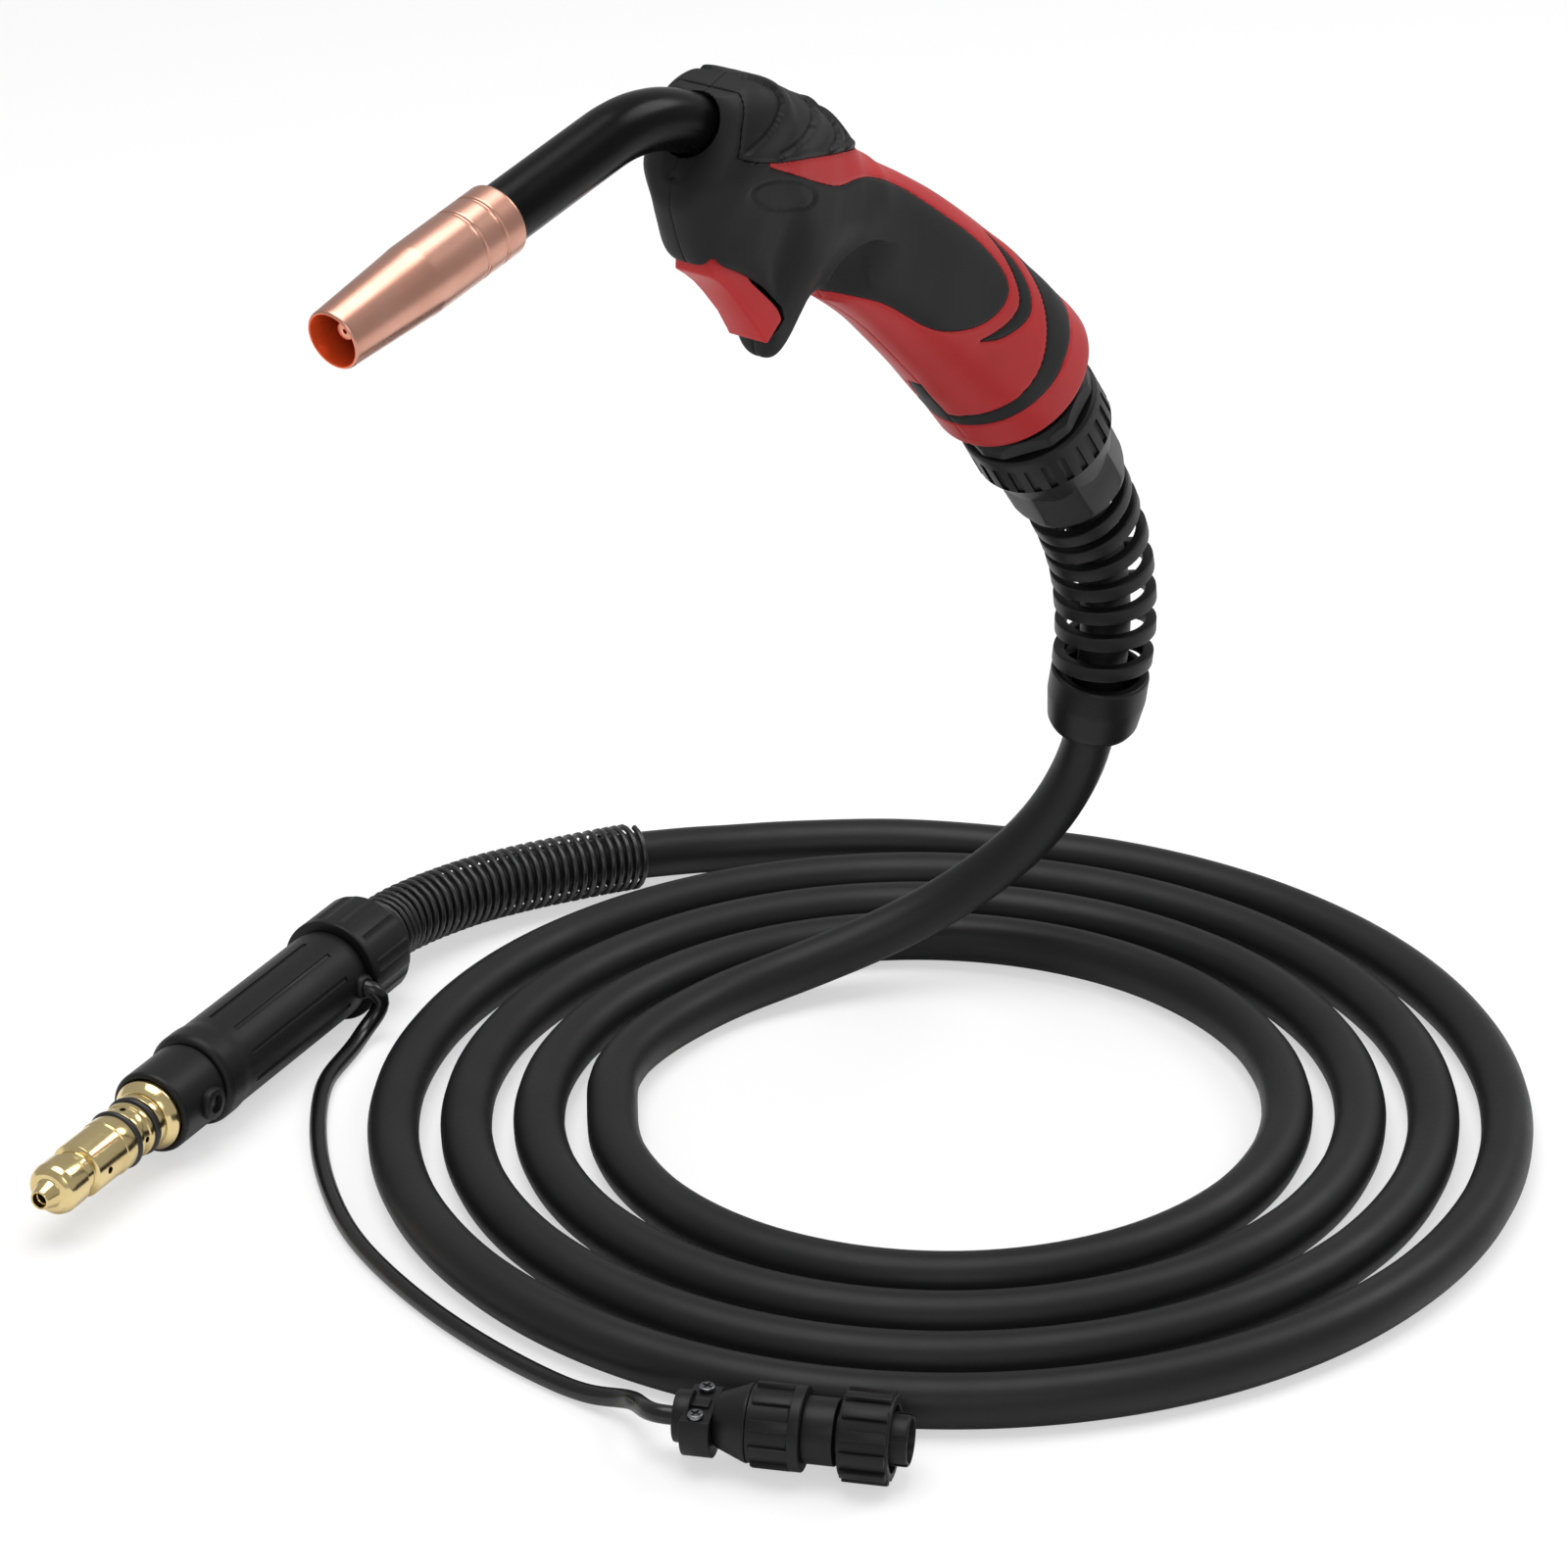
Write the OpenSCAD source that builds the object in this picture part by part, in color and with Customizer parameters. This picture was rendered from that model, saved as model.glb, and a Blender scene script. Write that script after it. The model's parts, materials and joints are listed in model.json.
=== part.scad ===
// MIG welding torch: swan-neck torch head, pistol handle on a ball knuckle, coiled power
// cable, and the machine plug with its control lead. Millimetres, +Z up. The origin is the
// middle of the hand grip, +X points out of the nozzle and the coil lies on z = -280.

/* [Torch head] */
// Outside diameter of the gas nozzle
nozzle_d = 20.6; // [20.2:0.1:21.4]
// Diameter of the gas nozzle at its mouth
nozzle_mouth_d = 16.8; // [16.2:0.1:17.6]
// Length of the gas nozzle
nozzle_len = 65.4; // [62:0.2:68]
// Diameter of the insulated swan neck
neck_d = 17.2; // [16.6:0.1:17.4]
// Bend radius of the swan neck
neck_bend_r = 53; // [52:0.5:54]
// Diameter of the wire hole in the contact tip
wire_hole_d = 1.2; // [0.8:0.1:1.6]

/* [Handle] */
// Wall of the handle shells, with the soft cover
shell_wall = 3.4; // [3:0.1:3.8]
// Thickness of the soft covers
cover_t = 1.4; // [1:0.1:1.6]
// Diameter of the trigger pivot pin
trigger_pin_d = 3; // [2.5:0.1:3.2]
// Diameter of the knuckle pins
knuckle_pin_d = 5; // [4:0.1:5.4]

/* [Cable] */
// Diameter of the power cable
cable_d = 16; // [15.4:0.1:16]
// Diameter of the control lead
lead_d = 5.5; // [5:0.1:5.5]
// Radius of the outermost loop of the coil
coil_r = 183.5; // [182:0.5:185]
// How far the spiral comes in on each loop
coil_step = 22.5; // [21:0.25:23]

/* [Machine plug] */
// Diameter of the brass machine pin
pin_d = 17.6; // [17:0.1:18]
// Diameter of the plug body
plug_d = 30; // [29:0.1:31]
// Diameter of the fluted plug nut
plug_nut_d = 34.9; // [33.5:0.1:34.9]

/* [Control plug] */
// Diameter of the ribbed coupling ring
coupling_d = 26.6; // [26:0.1:26.6]
// Outside diameter of the plug's keyed shell
socket_d = 15; // [14.5:0.1:15.4]

/* [Hidden] */
$fn = 48;
eps = 0.01;
floor_z = -280;
coil_z = floor_z + cable_d / 2;
lead_z = floor_z + lead_d / 2 + 0.05;

// Swan neck, in the plane y = 0: it leaves the handle at head_slope and ends at nose_slope.
bend_start = [94.093, 0, 69.207];
nose_slope = -12.9;
head_slope = 32;
neck_straight = 44;
neck_inside = 21;
neck_bend = head_slope - nose_slope;
bend_centre = bend_start - neck_bend_r * [-sin(head_slope), 0, cos(head_slope)];
bend_end = bend_centre + neck_bend_r * [-sin(nose_slope), 0, cos(nose_slope)];
nozzle_at = bend_end + neck_straight * [cos(nose_slope), 0, sin(nose_slope)];
neck_tail = bend_start - neck_inside * [cos(head_slope), 0, sin(head_slope)];

// Knuckle: the ball centre, and the support's axis, which falls away behind the handle.
ball = [-45, 0, -38.5];
support_slope = -53.5;
rim_slope = -46.5;
ball_to_rim = 7.4;
rim_w = 4;

// Handle sections from the rear rim to the front face. Each is the x and z of its top and
// bottom, its half width and its squareness (2 is an ellipse).
handle_sections = [
  [-69.1, -25.8, -31.1, -62.0, 26.2, 2.0],
  [-66.2, -22.9, -28.4, -58.9, 26.2, 2.0],
  [-60.5, -18.0, -23.0, -52.8, 25.8, 2.0],
  [-53.5, -11.8, -17.2, -46.6, 24.8, 2.1],
  [-46.0, -5.9, -11.5, -41.0, 23.6, 2.1],
  [-38.0, 0.3, -5.0, -34.0, 22.4, 2.2],
  [-29.7, 6.0, 2.0, -27.2, 21.4, 2.2],
  [-16.2, 15.7, 11.0, -18.5, 20.2, 2.3],
  [-2.9, 25.2, 20.0, -10.3, 19.4, 2.3],
  [10.1, 34.6, 29.0, -3.2, 18.8, 2.3],
  [21.7, 42.0, 38.5, 2.8, 18.4, 2.3],
  [31.2, 49.0, 48.0, 8.2, 18.3, 2.4],
  [38.6, 57.4, 57.0, 12.5, 18.4, 2.5],
  [48.8, 65.2, 67.0, 17.0, 18.7, 2.7],
  [60.0, 72.0, 78.0, 22.0, 19.2, 3.0],
  [71.2, 78.2, 87.5, 27.0, 19.6, 3.3],
  [83.2, 83.2, 96.0, 30.0, 19.4, 3.6],
  [92.0, 80.4, 100.0, 32.6, 18.2, 3.4],
  [97.4, 71.6, 105.0, 44.6, 14.5, 2.8],
  [101.4, 65.2, 106.8, 50.6, 9.0, 2.2]
];
handle_nose = [105.0, 0, 59.0];
section_sides = 20;

// Finger hook behind the trigger, in side view, and its half width.
hook_outline = [
  [90, 34], [88, 28.5], [77, 19.5], [69.8, 12.6], [68.4, 8.4], [71.2, 1.6], [70.6, -2.2],
  [67.6, -4.4], [64.4, -3.2], [61.4, 1.6], [58.8, 6.6], [53, 10.6], [47, 11], [60, 30]
];
hook_w = 9.5;

// Edges of the soft cover, the thumb rest, the side flash and the rear band, in side view.
cover_outline = [
  [150, 66.5], [103, 66.5], [88, 61.5], [84, 58.6], [61.5, 47.2], [53, 45.6], [45, 45.4],
  [34, 41.8], [21.5, 34.6], [6, 25.4], [-7.5, 16.4], [-18.5, 6.2], [-24.8, -2.4],
  [-25, -7.8], [-19.8, -12.7], [-10.4, -14.8], [1.6, -13.6], [13.5, -8.8], [25.3, -2.2],
  [36.8, 3.6], [45.7, 6], [50, -20], [150, -20]
];
rest_outline = [
  [86, 100], [86, 84.2], [91, 76], [95, 66.5], [88.3, 62.6], [70.3, 58.6], [51.6, 54.4],
  [34, 49], [30, 60], [60, 100]
];
flash_outline = [
  [-6, -16.2], [-12, -17.3], [-20, -16.3], [-26.5, -12.5], [-29, -5], [-27, 2.5], [-21.5, 9],
  [-20.2, 8], [-24, 1.5], [-25.8, -4.5], [-25, -9.8], [-20.5, -13.8], [-12, -15.7], [-6.2, -15.1]
];
band_outline = [
  [-10, -38], [-14.5, -40.5], [-22, -39.5], [-34, -34.5], [-43.5, -26.5], [-50, -17], [-51, -5],
  [-62, -12], [-56, -24], [-47.5, -34.5], [-36.5, -43], [-26, -48.5], [-20, -54], [-14, -52]
];

// Screws that join the shells, as [x, z].
screw_spots = [[96.5, 51], [26, 2.5], [-36, -12]];
screw_r = 1.5;
screw_head_r = 2.9;

// Trigger, in side view, with its pivot in the head.
trigger_pivot = [92.5, 0, 38];
trigger_outline = [
  [97, 34.5], [97.2, 28.4], [89.3, 22.3], [83.6, 15.6], [78.4, 8.6], [73.6, 2.2], [68.9, 8.2],
  [70.2, 12.4], [77.3, 19.0], [84, 25], [86.5, 33], [88.9, 38]
];
trigger_w = 8.4;
trigger_throw = 5;
slot_outline = [
  [98.6, 34], [98.8, 26.5], [84, 9], [73.5, 0.9], [66.9, 4.6], [64.2, 9.6], [70.8, 19.6],
  [78, 28.5], [86.3, 42.2], [95, 43.2]
];
switch_at = [73.4, 0, 38.2];
switch_size = [17, 6.4, 8];
switch_slope = 46;

// Cable support between the knuckle and the power cable: stations along its axis.
hub_r = 15.2;
nut_r = 22.3;
lock_from = 16.8;
lock_to = 22.2;
nut_from = 24.1;
nut_flutes = 26;
head_from = 39.2;
cone_to = 51.6;
head_to = 64.4;
head_turn = 34;
collar_top = [-103.8, -1.5, -162.4];
collar_end = [-105.6, -6, -183.8];
sleeve_route = [
  [-83.3, 0, -90.3], [-91.7, 0.2, -103.1], [-98.3, 0.4, -116.9], [-102.3, 0.4, -131.7],
  [-103.9, 0, -147.2], [-103.8, -1.5, -162.4]
];
sleeve_r = 15.4;
sleeve_taper = 1.4;
sleeve_t = 3.5;
sleeve_band = 4.8;
// Stations of the strip's middle at each half turn, first right and then left.
sleeve_marks = [
  61, 75.5, 71.4, 85.2, 80.2, 94.3, 91.5, 103.5, 102.9, 113.4, 113.2, 123.7, 123.2, 135.8, 133.2, 144
];

// Coil: a flat spiral that comes in clockwise.
coil_centre = [-3.8, 7.4];
coil_from = 14;
coil_to = 1350;
coil_start_angle = 218.5;

// Routes of the free stretches.
riser_route = [
  [29, -87.5, coil_z], [11, -90.5, coil_z], [-7, -90.5, coil_z], [-24.5, -87.5, -271.2],
  [-41.5, -81, -269.4], [-57.5, -72.5, -266], [-71.5, -62.5, -260.6], [-83.5, -51, -252.4],
  [-93.5, -38.5, -241], [-101, -26.5, -227], [-105.5, -16.5, -210.6], [-106.8, -10, -195.5]
];
lead_route = [
  [-154, -101.5, coil_z], [-143.5, -118, coil_z], [-131, -133, coil_z], [-117, -148, coil_z],
  [-106.5, -157.5, -271.8], [-97.5, -164.4, -271.1], [-88, -170, -270.1], [-78, -174.9, -268.9],
  [-66.5, -179.7, -268], [-55, -184.4, -267.4], [-43.4, -188.7, -266.6], [-31.6, -192.4, -265.9],
  [-19.6, -195.3, -265.1], [-7.3, -197.1, -264.4], [5, -198, -263.7], [17.4, -197.6, -263]
];
guard_end = 7;
control_route = [
  [57.6, -172.2, -262.6], [56.2, -169.8, -264.2], [55.4, -169.2, -267.4], [57, -169.6, -271],
  [61.4, -170.2, -274.6], [68, -168.6, -276.6], [78, -165.2, lead_z], [90.5, -160.3, lead_z], [101.5, -153.2, lead_z],
  [111.5, -145, lead_z], [129, -128, lead_z], [145, -108.5, lead_z], [158.5, -87.5, lead_z],
  [169, -63.5, lead_z], [177, -37.5, lead_z], [182.4, -9.5, lead_z], [184.4, 12, lead_z],
  [184.6, 30, -275.8], [185.6, 44, -271.6]
];

// Machine plug: the middle of its nose, and the heading of its axis towards the rear.
plug_tip = [219, -157.4, -262.5];
plug_heading = 191.3;
plug_len = 191.8;
sleeve_front = 59.6;
body_front = 82;
screw_t = 74;
gland_t = 161.2;
nut_front = 165.6;
guard_closed = 4;
guard_open = 24;
guard_wire = 2;
guard_r = 10.45;
guard_turn_closed = 2.96;

// Control plug: the middle of its back disc, and the heading of its axis.
ctrl_at = [190, 64, -266.6];
ctrl_heading = 116.2;

// ---- helpers ----

// Sets +Z of its children along a heading and a slope, at a place.
module aim(place, heading, slope) {
  translate(place) rotate([0, 90 - slope, heading]) children();
}

// A turned part from [radius, height] pairs.
module turned(outline) {
  rotate_extrude() polygon(outline);
}

module tube(r, bore_r, from, to) {
  translate([0, 0, from]) difference() {
    cylinder(h = to - from, r = r);
    translate([0, 0, -1]) cylinder(h = to - from + 2, r = bore_r);
  }
}

function unit(v) = v / norm(v);
function tangents(p) =
  let (n = len(p)) [for (i = [0:n - 1]) unit(p[min(i + 1, n - 1)] - p[max(i - 1, 0)])];
function squared(v, t) = unit(v - (v * t) * t);
function carried(t, start) = [
  for (i = 0, u = squared(start, t[0]); i < len(t);
       i = i + 1, u = i < len(t) ? squared(u, t[i]) : u) u
];
function round_section(r, sides) = [for (k = [0:sides - 1]) r * [cos(360 * k / sides), sin(360 * k / sides)]];

// Faces that close a stack of rings into a solid.
function stack_faces(rings, sides) = concat(
  [for (k = [1:sides - 2]) [0, k + 1, k]],
  [for (k = [1:sides - 2]) let (e = (rings - 1) * sides) [e, e + k, e + k + 1]],
  [for (i = [0:rings - 2]) for (k = [0:sides - 1])
    let (a = i * sides + k, b = i * sides + (k + 1) % sides) each [[a, b, b + sides], [a, b + sides, a + sides]]]
);

// The same, with the diagonals of one side mirrored on the other.
function twin_faces(rings, sides) = concat(
  [for (k = [1:sides - 2]) [0, k + 1, k]],
  [for (k = [1:sides - 2]) let (e = (rings - 1) * sides) [e, e + k, e + k + 1]],
  [for (i = [0:rings - 2]) for (k = [0:sides - 1])
    let (a = i * sides + k, b = i * sides + (k + 1) % sides)
    each k < sides / 2 ? [[a, b, b + sides], [a, b + sides, a + sides]]
      : [[a, b, a + sides], [b, b + sides, a + sides]]]
);

// One closed tube: a section carried square along a path.
module sweep(path, section, up = [0, 0, 1]) {
  t = tangents(path);
  u = carried(t, up);
  points = [for (i = [0:len(path) - 1]) for (q = section) path[i] + q[0] * u[i] + q[1] * cross(u[i], t[i])];
  polyhedron(points, stack_faces(len(path), len(section)));
}

// Smooth point on a route, s running from 0 at its first point to 1 at its last.
function along(route, s) =
  let (n = len(route) - 1, f = min(s, 1 - 1e-9) * n, i = floor(f), t = f - i,
       b = route[i], c = route[i + 1], a = i > 0 ? route[i - 1] : 2 * b - c,
       d = i + 2 > n ? 2 * c - b : route[i + 2])
  0.5 * (2 * b + (c - a) * t + (2 * a - 5 * b + 4 * c - d) * t * t + (3 * b - a - 3 * c + d) * t * t * t);

// Least distance between turns of a wound tube, one turn apart or more.
function turn_gap(points, per_turn, across) =
  min([for (i = [0:len(points) - per_turn - 1]) for (j = [i + floor(per_turn / 2):min(i + 2 * per_turn, len(points) - 1)])
    norm(points[j] - points[i])]) - across;

// ---- torch head ----

// A round rod along the swan neck; its straight ends are 0.05 mm thinner and start inside the bend.
module neck_sweep(r, inside, outside) {
  bite = 0.5;
  translate(bend_centre) rotate([90, 0, 0]) rotate([0, 0, 90 + nose_slope])
    rotate_extrude(angle = neck_bend) translate([neck_bend_r, 0]) circle(r);
  aim(bend_end, 0, nose_slope) translate([0, 0, -bite]) cylinder(h = neck_straight + outside + bite, r = r - 0.05);
  aim(bend_start, 180, -head_slope) translate([0, 0, -bite]) cylinder(h = inside + bite, r = r - 0.05);
}

module nozzle() {
  r = nozzle_d / 2;
  mouth = nozzle_mouth_d / 2;
  groove = 0.35;
  color("#c8917c") aim(nozzle_at, 0, nose_slope) turned([
    [r - 1.1, 0], [r - 0.4, 0], [r, 0.5], [r, 7], [r - groove, 7.2], [r - groove, 7.9], [r, 8.1],
    [r, 14.8], [r - groove, 15], [r - groove, 15.7], [r, 15.9], [r, 33], [r - 0.25, 37],
    [mouth, nozzle_len - 0.5], [mouth - 0.4, nozzle_len], [mouth - 0.95, nozzle_len],
    [mouth - 0.95, nozzle_len - 4], [r - 1.5, 37], [r - 1.1, 32]
  ]);
}

module nozzle_insulator() {
  color("#e8e2d2") aim(nozzle_at, 0, nose_slope) tube(nozzle_d / 2 - 1.15, 5.6, 7, 24);
}

module gas_diffuser() {
  color("#c9a24a") aim(nozzle_at, 0, nose_slope) difference() {
    turned([[2.2, 1.2], [5.1, 1.2], [5.1, 6.8], [5.5, 7], [5.5, 25], [6.6, 26], [6.6, 38], [4.1, 41], [4.1, 30], [2.2, 29]]);
    for (a = [0:60:300]) rotate([0, 0, a]) translate([0, 0, 33.5]) rotate([0, 90, 0]) cylinder(h = 10, r = 1);
  }
}

module contact_tip() {
  color("#b5654a") aim(nozzle_at, 0, nose_slope) difference() {
    turned([[0, 30.5], [4, 30.5], [4, 54.5], [3.2, 58], [0, 58]]);
    translate([0, 0, 30]) cylinder(h = 30, r = wire_hole_d / 2);
  }
}

module neck_tube() {
  color("#b87333") difference() {
    neck_sweep(5.2, neck_inside, 0.9);
    neck_sweep(2.3, neck_inside + 1, 1.6);
  }
}

module neck_jacket() {
  color("#161616") difference() {
    neck_sweep(neck_d / 2, neck_inside - 6, 6.7);
    neck_sweep(5.25, neck_inside, 8);
  }
}

module wire_liner() {
  color("#8a8d90") difference() {
    neck_sweep(1.6, neck_inside + 6, 0.8);
    neck_sweep(0.9, neck_inside + 8, 1.6);
  }
}

module neck_nut() {
  color("#c9a24a") aim(neck_tail, 0, head_slope) difference() {
    union() {
      cylinder(h = 3, r = 8.2);
      cylinder(h = 5.6, r = 7.6, $fn = 6);
    }
    translate([0, 0, -1]) cylinder(h = 8, r = 5.25);
  }
}

module conductor_stud() {
  color("#c9a24a") aim(neck_tail, 180, -head_slope) turned([
    [3.4, 0.1], [7, 0.1], [7, 7], [6.2, 8], [6.2, 22], [3.4, 22]
  ]);
}

module inner_cable() {
  start = neck_tail - 22.1 * [cos(head_slope), 0, sin(head_slope)];
  gap = start - ball;
  slope = atan2(gap[2], gap[0]);
  color("#1c1c1c") aim(start, 180, -slope) tube(6, 3, 0.6, norm(gap) - 25);
}

// ---- handle ----

function sgn_pow(v, p) = sign(v) * pow(abs(v), p);
function section_ring(s, inset) =
  let (top = [s[0], 0, s[1]], foot = [s[2], 0, s[3]], mid = (top + foot) / 2,
       half = (top - foot) / 2, tall = norm(half) - inset, wide = s[4] - inset, p = 2 / s[5])
  [for (k = [0:section_sides - 1]) let (a = 360 * (k + 0.5) / section_sides)
    mid + tall * sgn_pow(cos(a), p) * unit(half) + wide * sgn_pow(sin(a), p) * [0, 1, 0]];

// The handle's outer form, or the same form drawn in by an inset.
module handle_form(inset, front) {
  rings = [for (i = [0:front]) section_ring(handle_sections[i], inset)];
  points = [for (ring = rings) each ring];
  polyhedron(points, twin_faces(len(rings), section_sides));
}

module side_cut(outline, half) {
  rotate([90, 0, 0]) translate([0, 0, -half]) linear_extrude(2 * half) polygon(outline);
}

module half_space(side) {
  translate([-150, side > 0 ? 0 : -200, -150]) cube([400, 200, 400]);
}

// The finger hook narrows to a rounded lip at its foot.
module hook() {
  intersection() {
    side_cut(hook_outline, hook_w);
    translate([68.6, 0, -4.6]) rotate([0, 0, 90]) rotate([90, 0, 0]) linear_extrude(60, center = true)
      polygon([[-4.6, 0], [4.6, 0], [8.6, 5], [hook_w, 11], [hook_w, 45], [-hook_w, 45], [-hook_w, 11], [-8.6, 5]]);
  }
}

module rear_cut(extra) {
  aim(ball, 180, rim_slope) translate([-50, -50, ball_to_rim - rim_w - extra]) cube([100, 100, 60]);
}

module neck_hole(r) {
  aim(bend_start, 0, head_slope) translate([0, 0, -2]) cylinder(h = 40, r = r);
}

module screw_path(r, from, to) {
  for (s = screw_spots) translate([s[0], from, s[1]]) rotate([-90, 0, 0]) cylinder(h = to - from, r = r);
}

module cover_places() {
  cover_zone();
  for (outline = [rest_outline, flash_outline, band_outline]) side_cut(outline, 40);
}

module cover_zone() {
  difference() {
    side_cut(cover_outline, 40);
    side_cut(rest_outline, 40);
  }
}

// The moulded half: the outer form, less the hollow and the places of the covers.
module handle_shell(side) {
  difference() {
    intersection() {
      handle_form(0, len(handle_sections) - 1);
      half_space(side);
    }
    difference() {
      handle_form(shell_wall, len(handle_sections) - 3);
      screw_path(3.6, -30, 30);
      aim(neck_tail, 0, head_slope) translate([-30, -30, 8]) cube([60, 60, 5]);
    }
    difference() {
      cover_places();
      handle_form(cover_t, len(handle_sections) - 1);
    }
    rear_cut(0);
    side_cut(slot_outline, trigger_w + 0.5);
    neck_hole(neck_d / 2 + 1.6);
    aim(neck_tail, 0, head_slope) cylinder(h = 30, r = neck_d / 2 + 0.05);
    translate(trigger_pivot) rotate([90, 0, 0]) cylinder(h = 26, r = trigger_pin_d / 2 + 0.02, center = true);
    translate(ball) rotate([90, 0, 0]) cylinder(h = 48.4, r = knuckle_pin_d / 2 + 0.05, center = true);
    screw_path(screw_r, -30, 12);
    screw_path(screw_head_r + 0.15, -40, -9.8);
  }
}

module handle_shell_left() {
  color("#a83435") handle_shell(1);
}

module handle_shell_right() {
  color("#a83435") handle_shell(-1);
}

// The soft cover of the left side, with its half of the finger hook.
module soft_grip() {
  difference() {
    intersection() {
      union() {
        handle_form(0, len(handle_sections) - 1);
        hook();
      }
      cover_zone();
      half_space(1);
    }
    handle_form(cover_t, len(handle_sections) - 1);
    side_cut(slot_outline, trigger_w + 0.5);
    neck_hole(neck_d / 2 + 1.6);
  }
}

module soft_grip_left() {
  color("#2b2b2b") soft_grip();
}

module soft_grip_right() {
  color("#2b2b2b") difference() {
    mirror([0, 1, 0]) soft_grip();
    screw_path(screw_head_r + 0.15, -40, -9.8);
  }
}

module side_flashes() {
  color("#2b2b2b") difference() {
    intersection() {
      handle_form(0, len(handle_sections) - 1);
      side_cut(flash_outline, 40);
    }
    handle_form(cover_t, len(handle_sections) - 1);
  }
}

module thumb_rest() {
  color("#232323") difference() {
    intersection() {
      handle_form(0, len(handle_sections) - 1);
      side_cut(rest_outline, 40);
    }
    handle_form(cover_t, len(handle_sections) - 1);
  }
}

module rear_band() {
  color("#232323") difference() {
    intersection() {
      handle_form(0, len(handle_sections) - 1);
      side_cut(band_outline, 40);
    }
    handle_form(cover_t, len(handle_sections) - 1);
    rear_cut(0);
  }
}

module end_rim() {
  rim_r = 26.2;
  color("#b23a3a") aim(ball, 180, rim_slope) difference() {
    translate([0, 0, ball_to_rim - rim_w + 0.05]) turned([
      [22.9, 0], [rim_r, 0], [rim_r, rim_w - 0.6], [rim_r - 0.6, rim_w], [22.9, rim_w]
    ]);
  }
}

module shell_screws() {
  color("#3a3a3c") for (s = screw_spots) translate([s[0], -12, s[1]]) rotate([-90, 0, 0]) difference() {
    union() {
      translate([0, 0, 2.2]) cylinder(h = 18, r = screw_r);
      cylinder(h = 2.2, r = screw_head_r);
    }
    translate([0, 0, -1]) cylinder(h = 2.2, r = 1.1, $fn = 6);
  }
}

// ---- trigger ----

module trigger() {
  color("#b23a3a") difference() {
    union() {
      intersection() {
        side_cut(trigger_outline, trigger_w);
        aim([70, 0, -2], 0, 48.5) linear_extrude(60) polygon([
          [-22, -trigger_w], [-22, trigger_w], [2.5, trigger_w], [12, 5.6], [12, -5.6], [2.5, -trigger_w]
        ]);
      }
      translate(trigger_pivot) rotate([90, 0, 0]) cylinder(h = 2 * trigger_w, r = 3.7, center = true);
    }
    translate(trigger_pivot) rotate([90, 0, 0]) cylinder(h = 30, r = trigger_pin_d / 2 + 0.05, center = true);
  }
}

module trigger_pin() {
  color("#9a9ca0") translate(trigger_pivot) rotate([90, 0, 0]) cylinder(h = 25.6, r = trigger_pin_d / 2, center = true);
}

// Turns its children so that +Z is the way the plunger points.
module at_switch() {
  translate(switch_at) rotate([0, 90 + switch_slope, 0]) children();
}

module microswitch() {
  color("#1a1a1a") at_switch() difference() {
    translate([-switch_size[0] / 2, -switch_size[1] / 2, -switch_size[2] / 2]) cube(switch_size);
    translate([0, 0, switch_size[2] / 2 - 3.5]) cylinder(h = 5, r = 1.65);
  }
}

module switch_plunger() {
  color("#b8b8b8") at_switch() translate([0, 0, switch_size[2] / 2 - 1.6]) cylinder(h = 5, r = 1.6);
}

// ---- knuckle and cable support ----

module at_support() {
  aim(ball, 180, support_slope) children();
}

module knuckle_ring() {
  color("#202020") difference() {
    at_support() difference() {
      intersection() {
        sphere(21.8, $fn = 96);
        translate([0, 0, -11]) cylinder(h = 23, r = 30);
      }
      translate([0, 0, -20]) cylinder(h = 40, r = hub_r + 0.05);
    }
    translate(ball) rotate([90, 0, 0]) cylinder(h = 60, r = knuckle_pin_d / 2, center = true);
  }
}

module knuckle_pins() {
  color("#9a9ca0") for (side = [-1, 1])
    translate(ball) rotate([side * -90, 0, 0]) translate([0, 0, 16]) cylinder(h = 8, r = knuckle_pin_d / 2);
}

module swivel_hub() {
  color("#1d1d1d") at_support() turned([
    [8.4, -15], [17.4, -15], [17.4, -12.2], [hub_r, -11.6], [hub_r, 12.4], [16.6, 12.8],
    [16.6, lock_from], [hub_r, lock_from], [hub_r, nut_from + 6], [8.4, nut_from + 6]
  ]);
}

// Hexagonal, its corners cut off square.
module lock_ring() {
  angles = [for (k = [0:5]) for (corner = [-9.5, 9.5]) 60 * k + corner - 64.5];
  color("#1d1d1d") at_support() difference() {
    intersection() {
      translate([0, 0, lock_from]) linear_extrude(lock_to - lock_from)
        polygon([for (a = angles) 21.9 * [cos(a), sin(a)]]);
      turned([[0, lock_from], [20.2, lock_from], [22, lock_from + 2.2], [22, lock_to], [0, lock_to]]);
    }
    translate([0, 0, lock_from - 1]) cylinder(h = 30, r = hub_r + 0.02);
  }
}

module support_nut() {
  color("#202020") at_support() difference() {
    turned([
      [hub_r + 0.02, nut_from], [21.7, nut_from], [nut_r, nut_from + 0.8], [nut_r, head_from],
      [8.4, head_from], [8.4, nut_from + 6.1], [hub_r + 0.02, nut_from + 6.1]
    ]);
    for (k = [1:nut_flutes]) rotate([0, 0, 360 / nut_flutes * k]) translate([nut_r - 0.9, -1.2, nut_from + 4.4])
      cube([3, 2.4, 30]);
  }
}

module support_head() {
  color("#1e1e1e") at_support() difference() {
    union() {
      turned([[0, head_from + 0.05], [nut_r - 0.1, head_from + 0.05], [17.5, cone_to], [0, cone_to]]);
      intersection() {
        rotate([0, 0, head_turn]) translate([0, 0, head_from + 7]) cylinder(h = head_to, r = 19.1, $fn = 8);
        turned([[0, head_from], [19.2, head_from], [19, head_to - 3], [18.2, head_to], [0, head_to]]);
      }
    }
    translate([0, 0, head_from - 1]) cylinder(h = 60, r = 8.4);
  }
}

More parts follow.
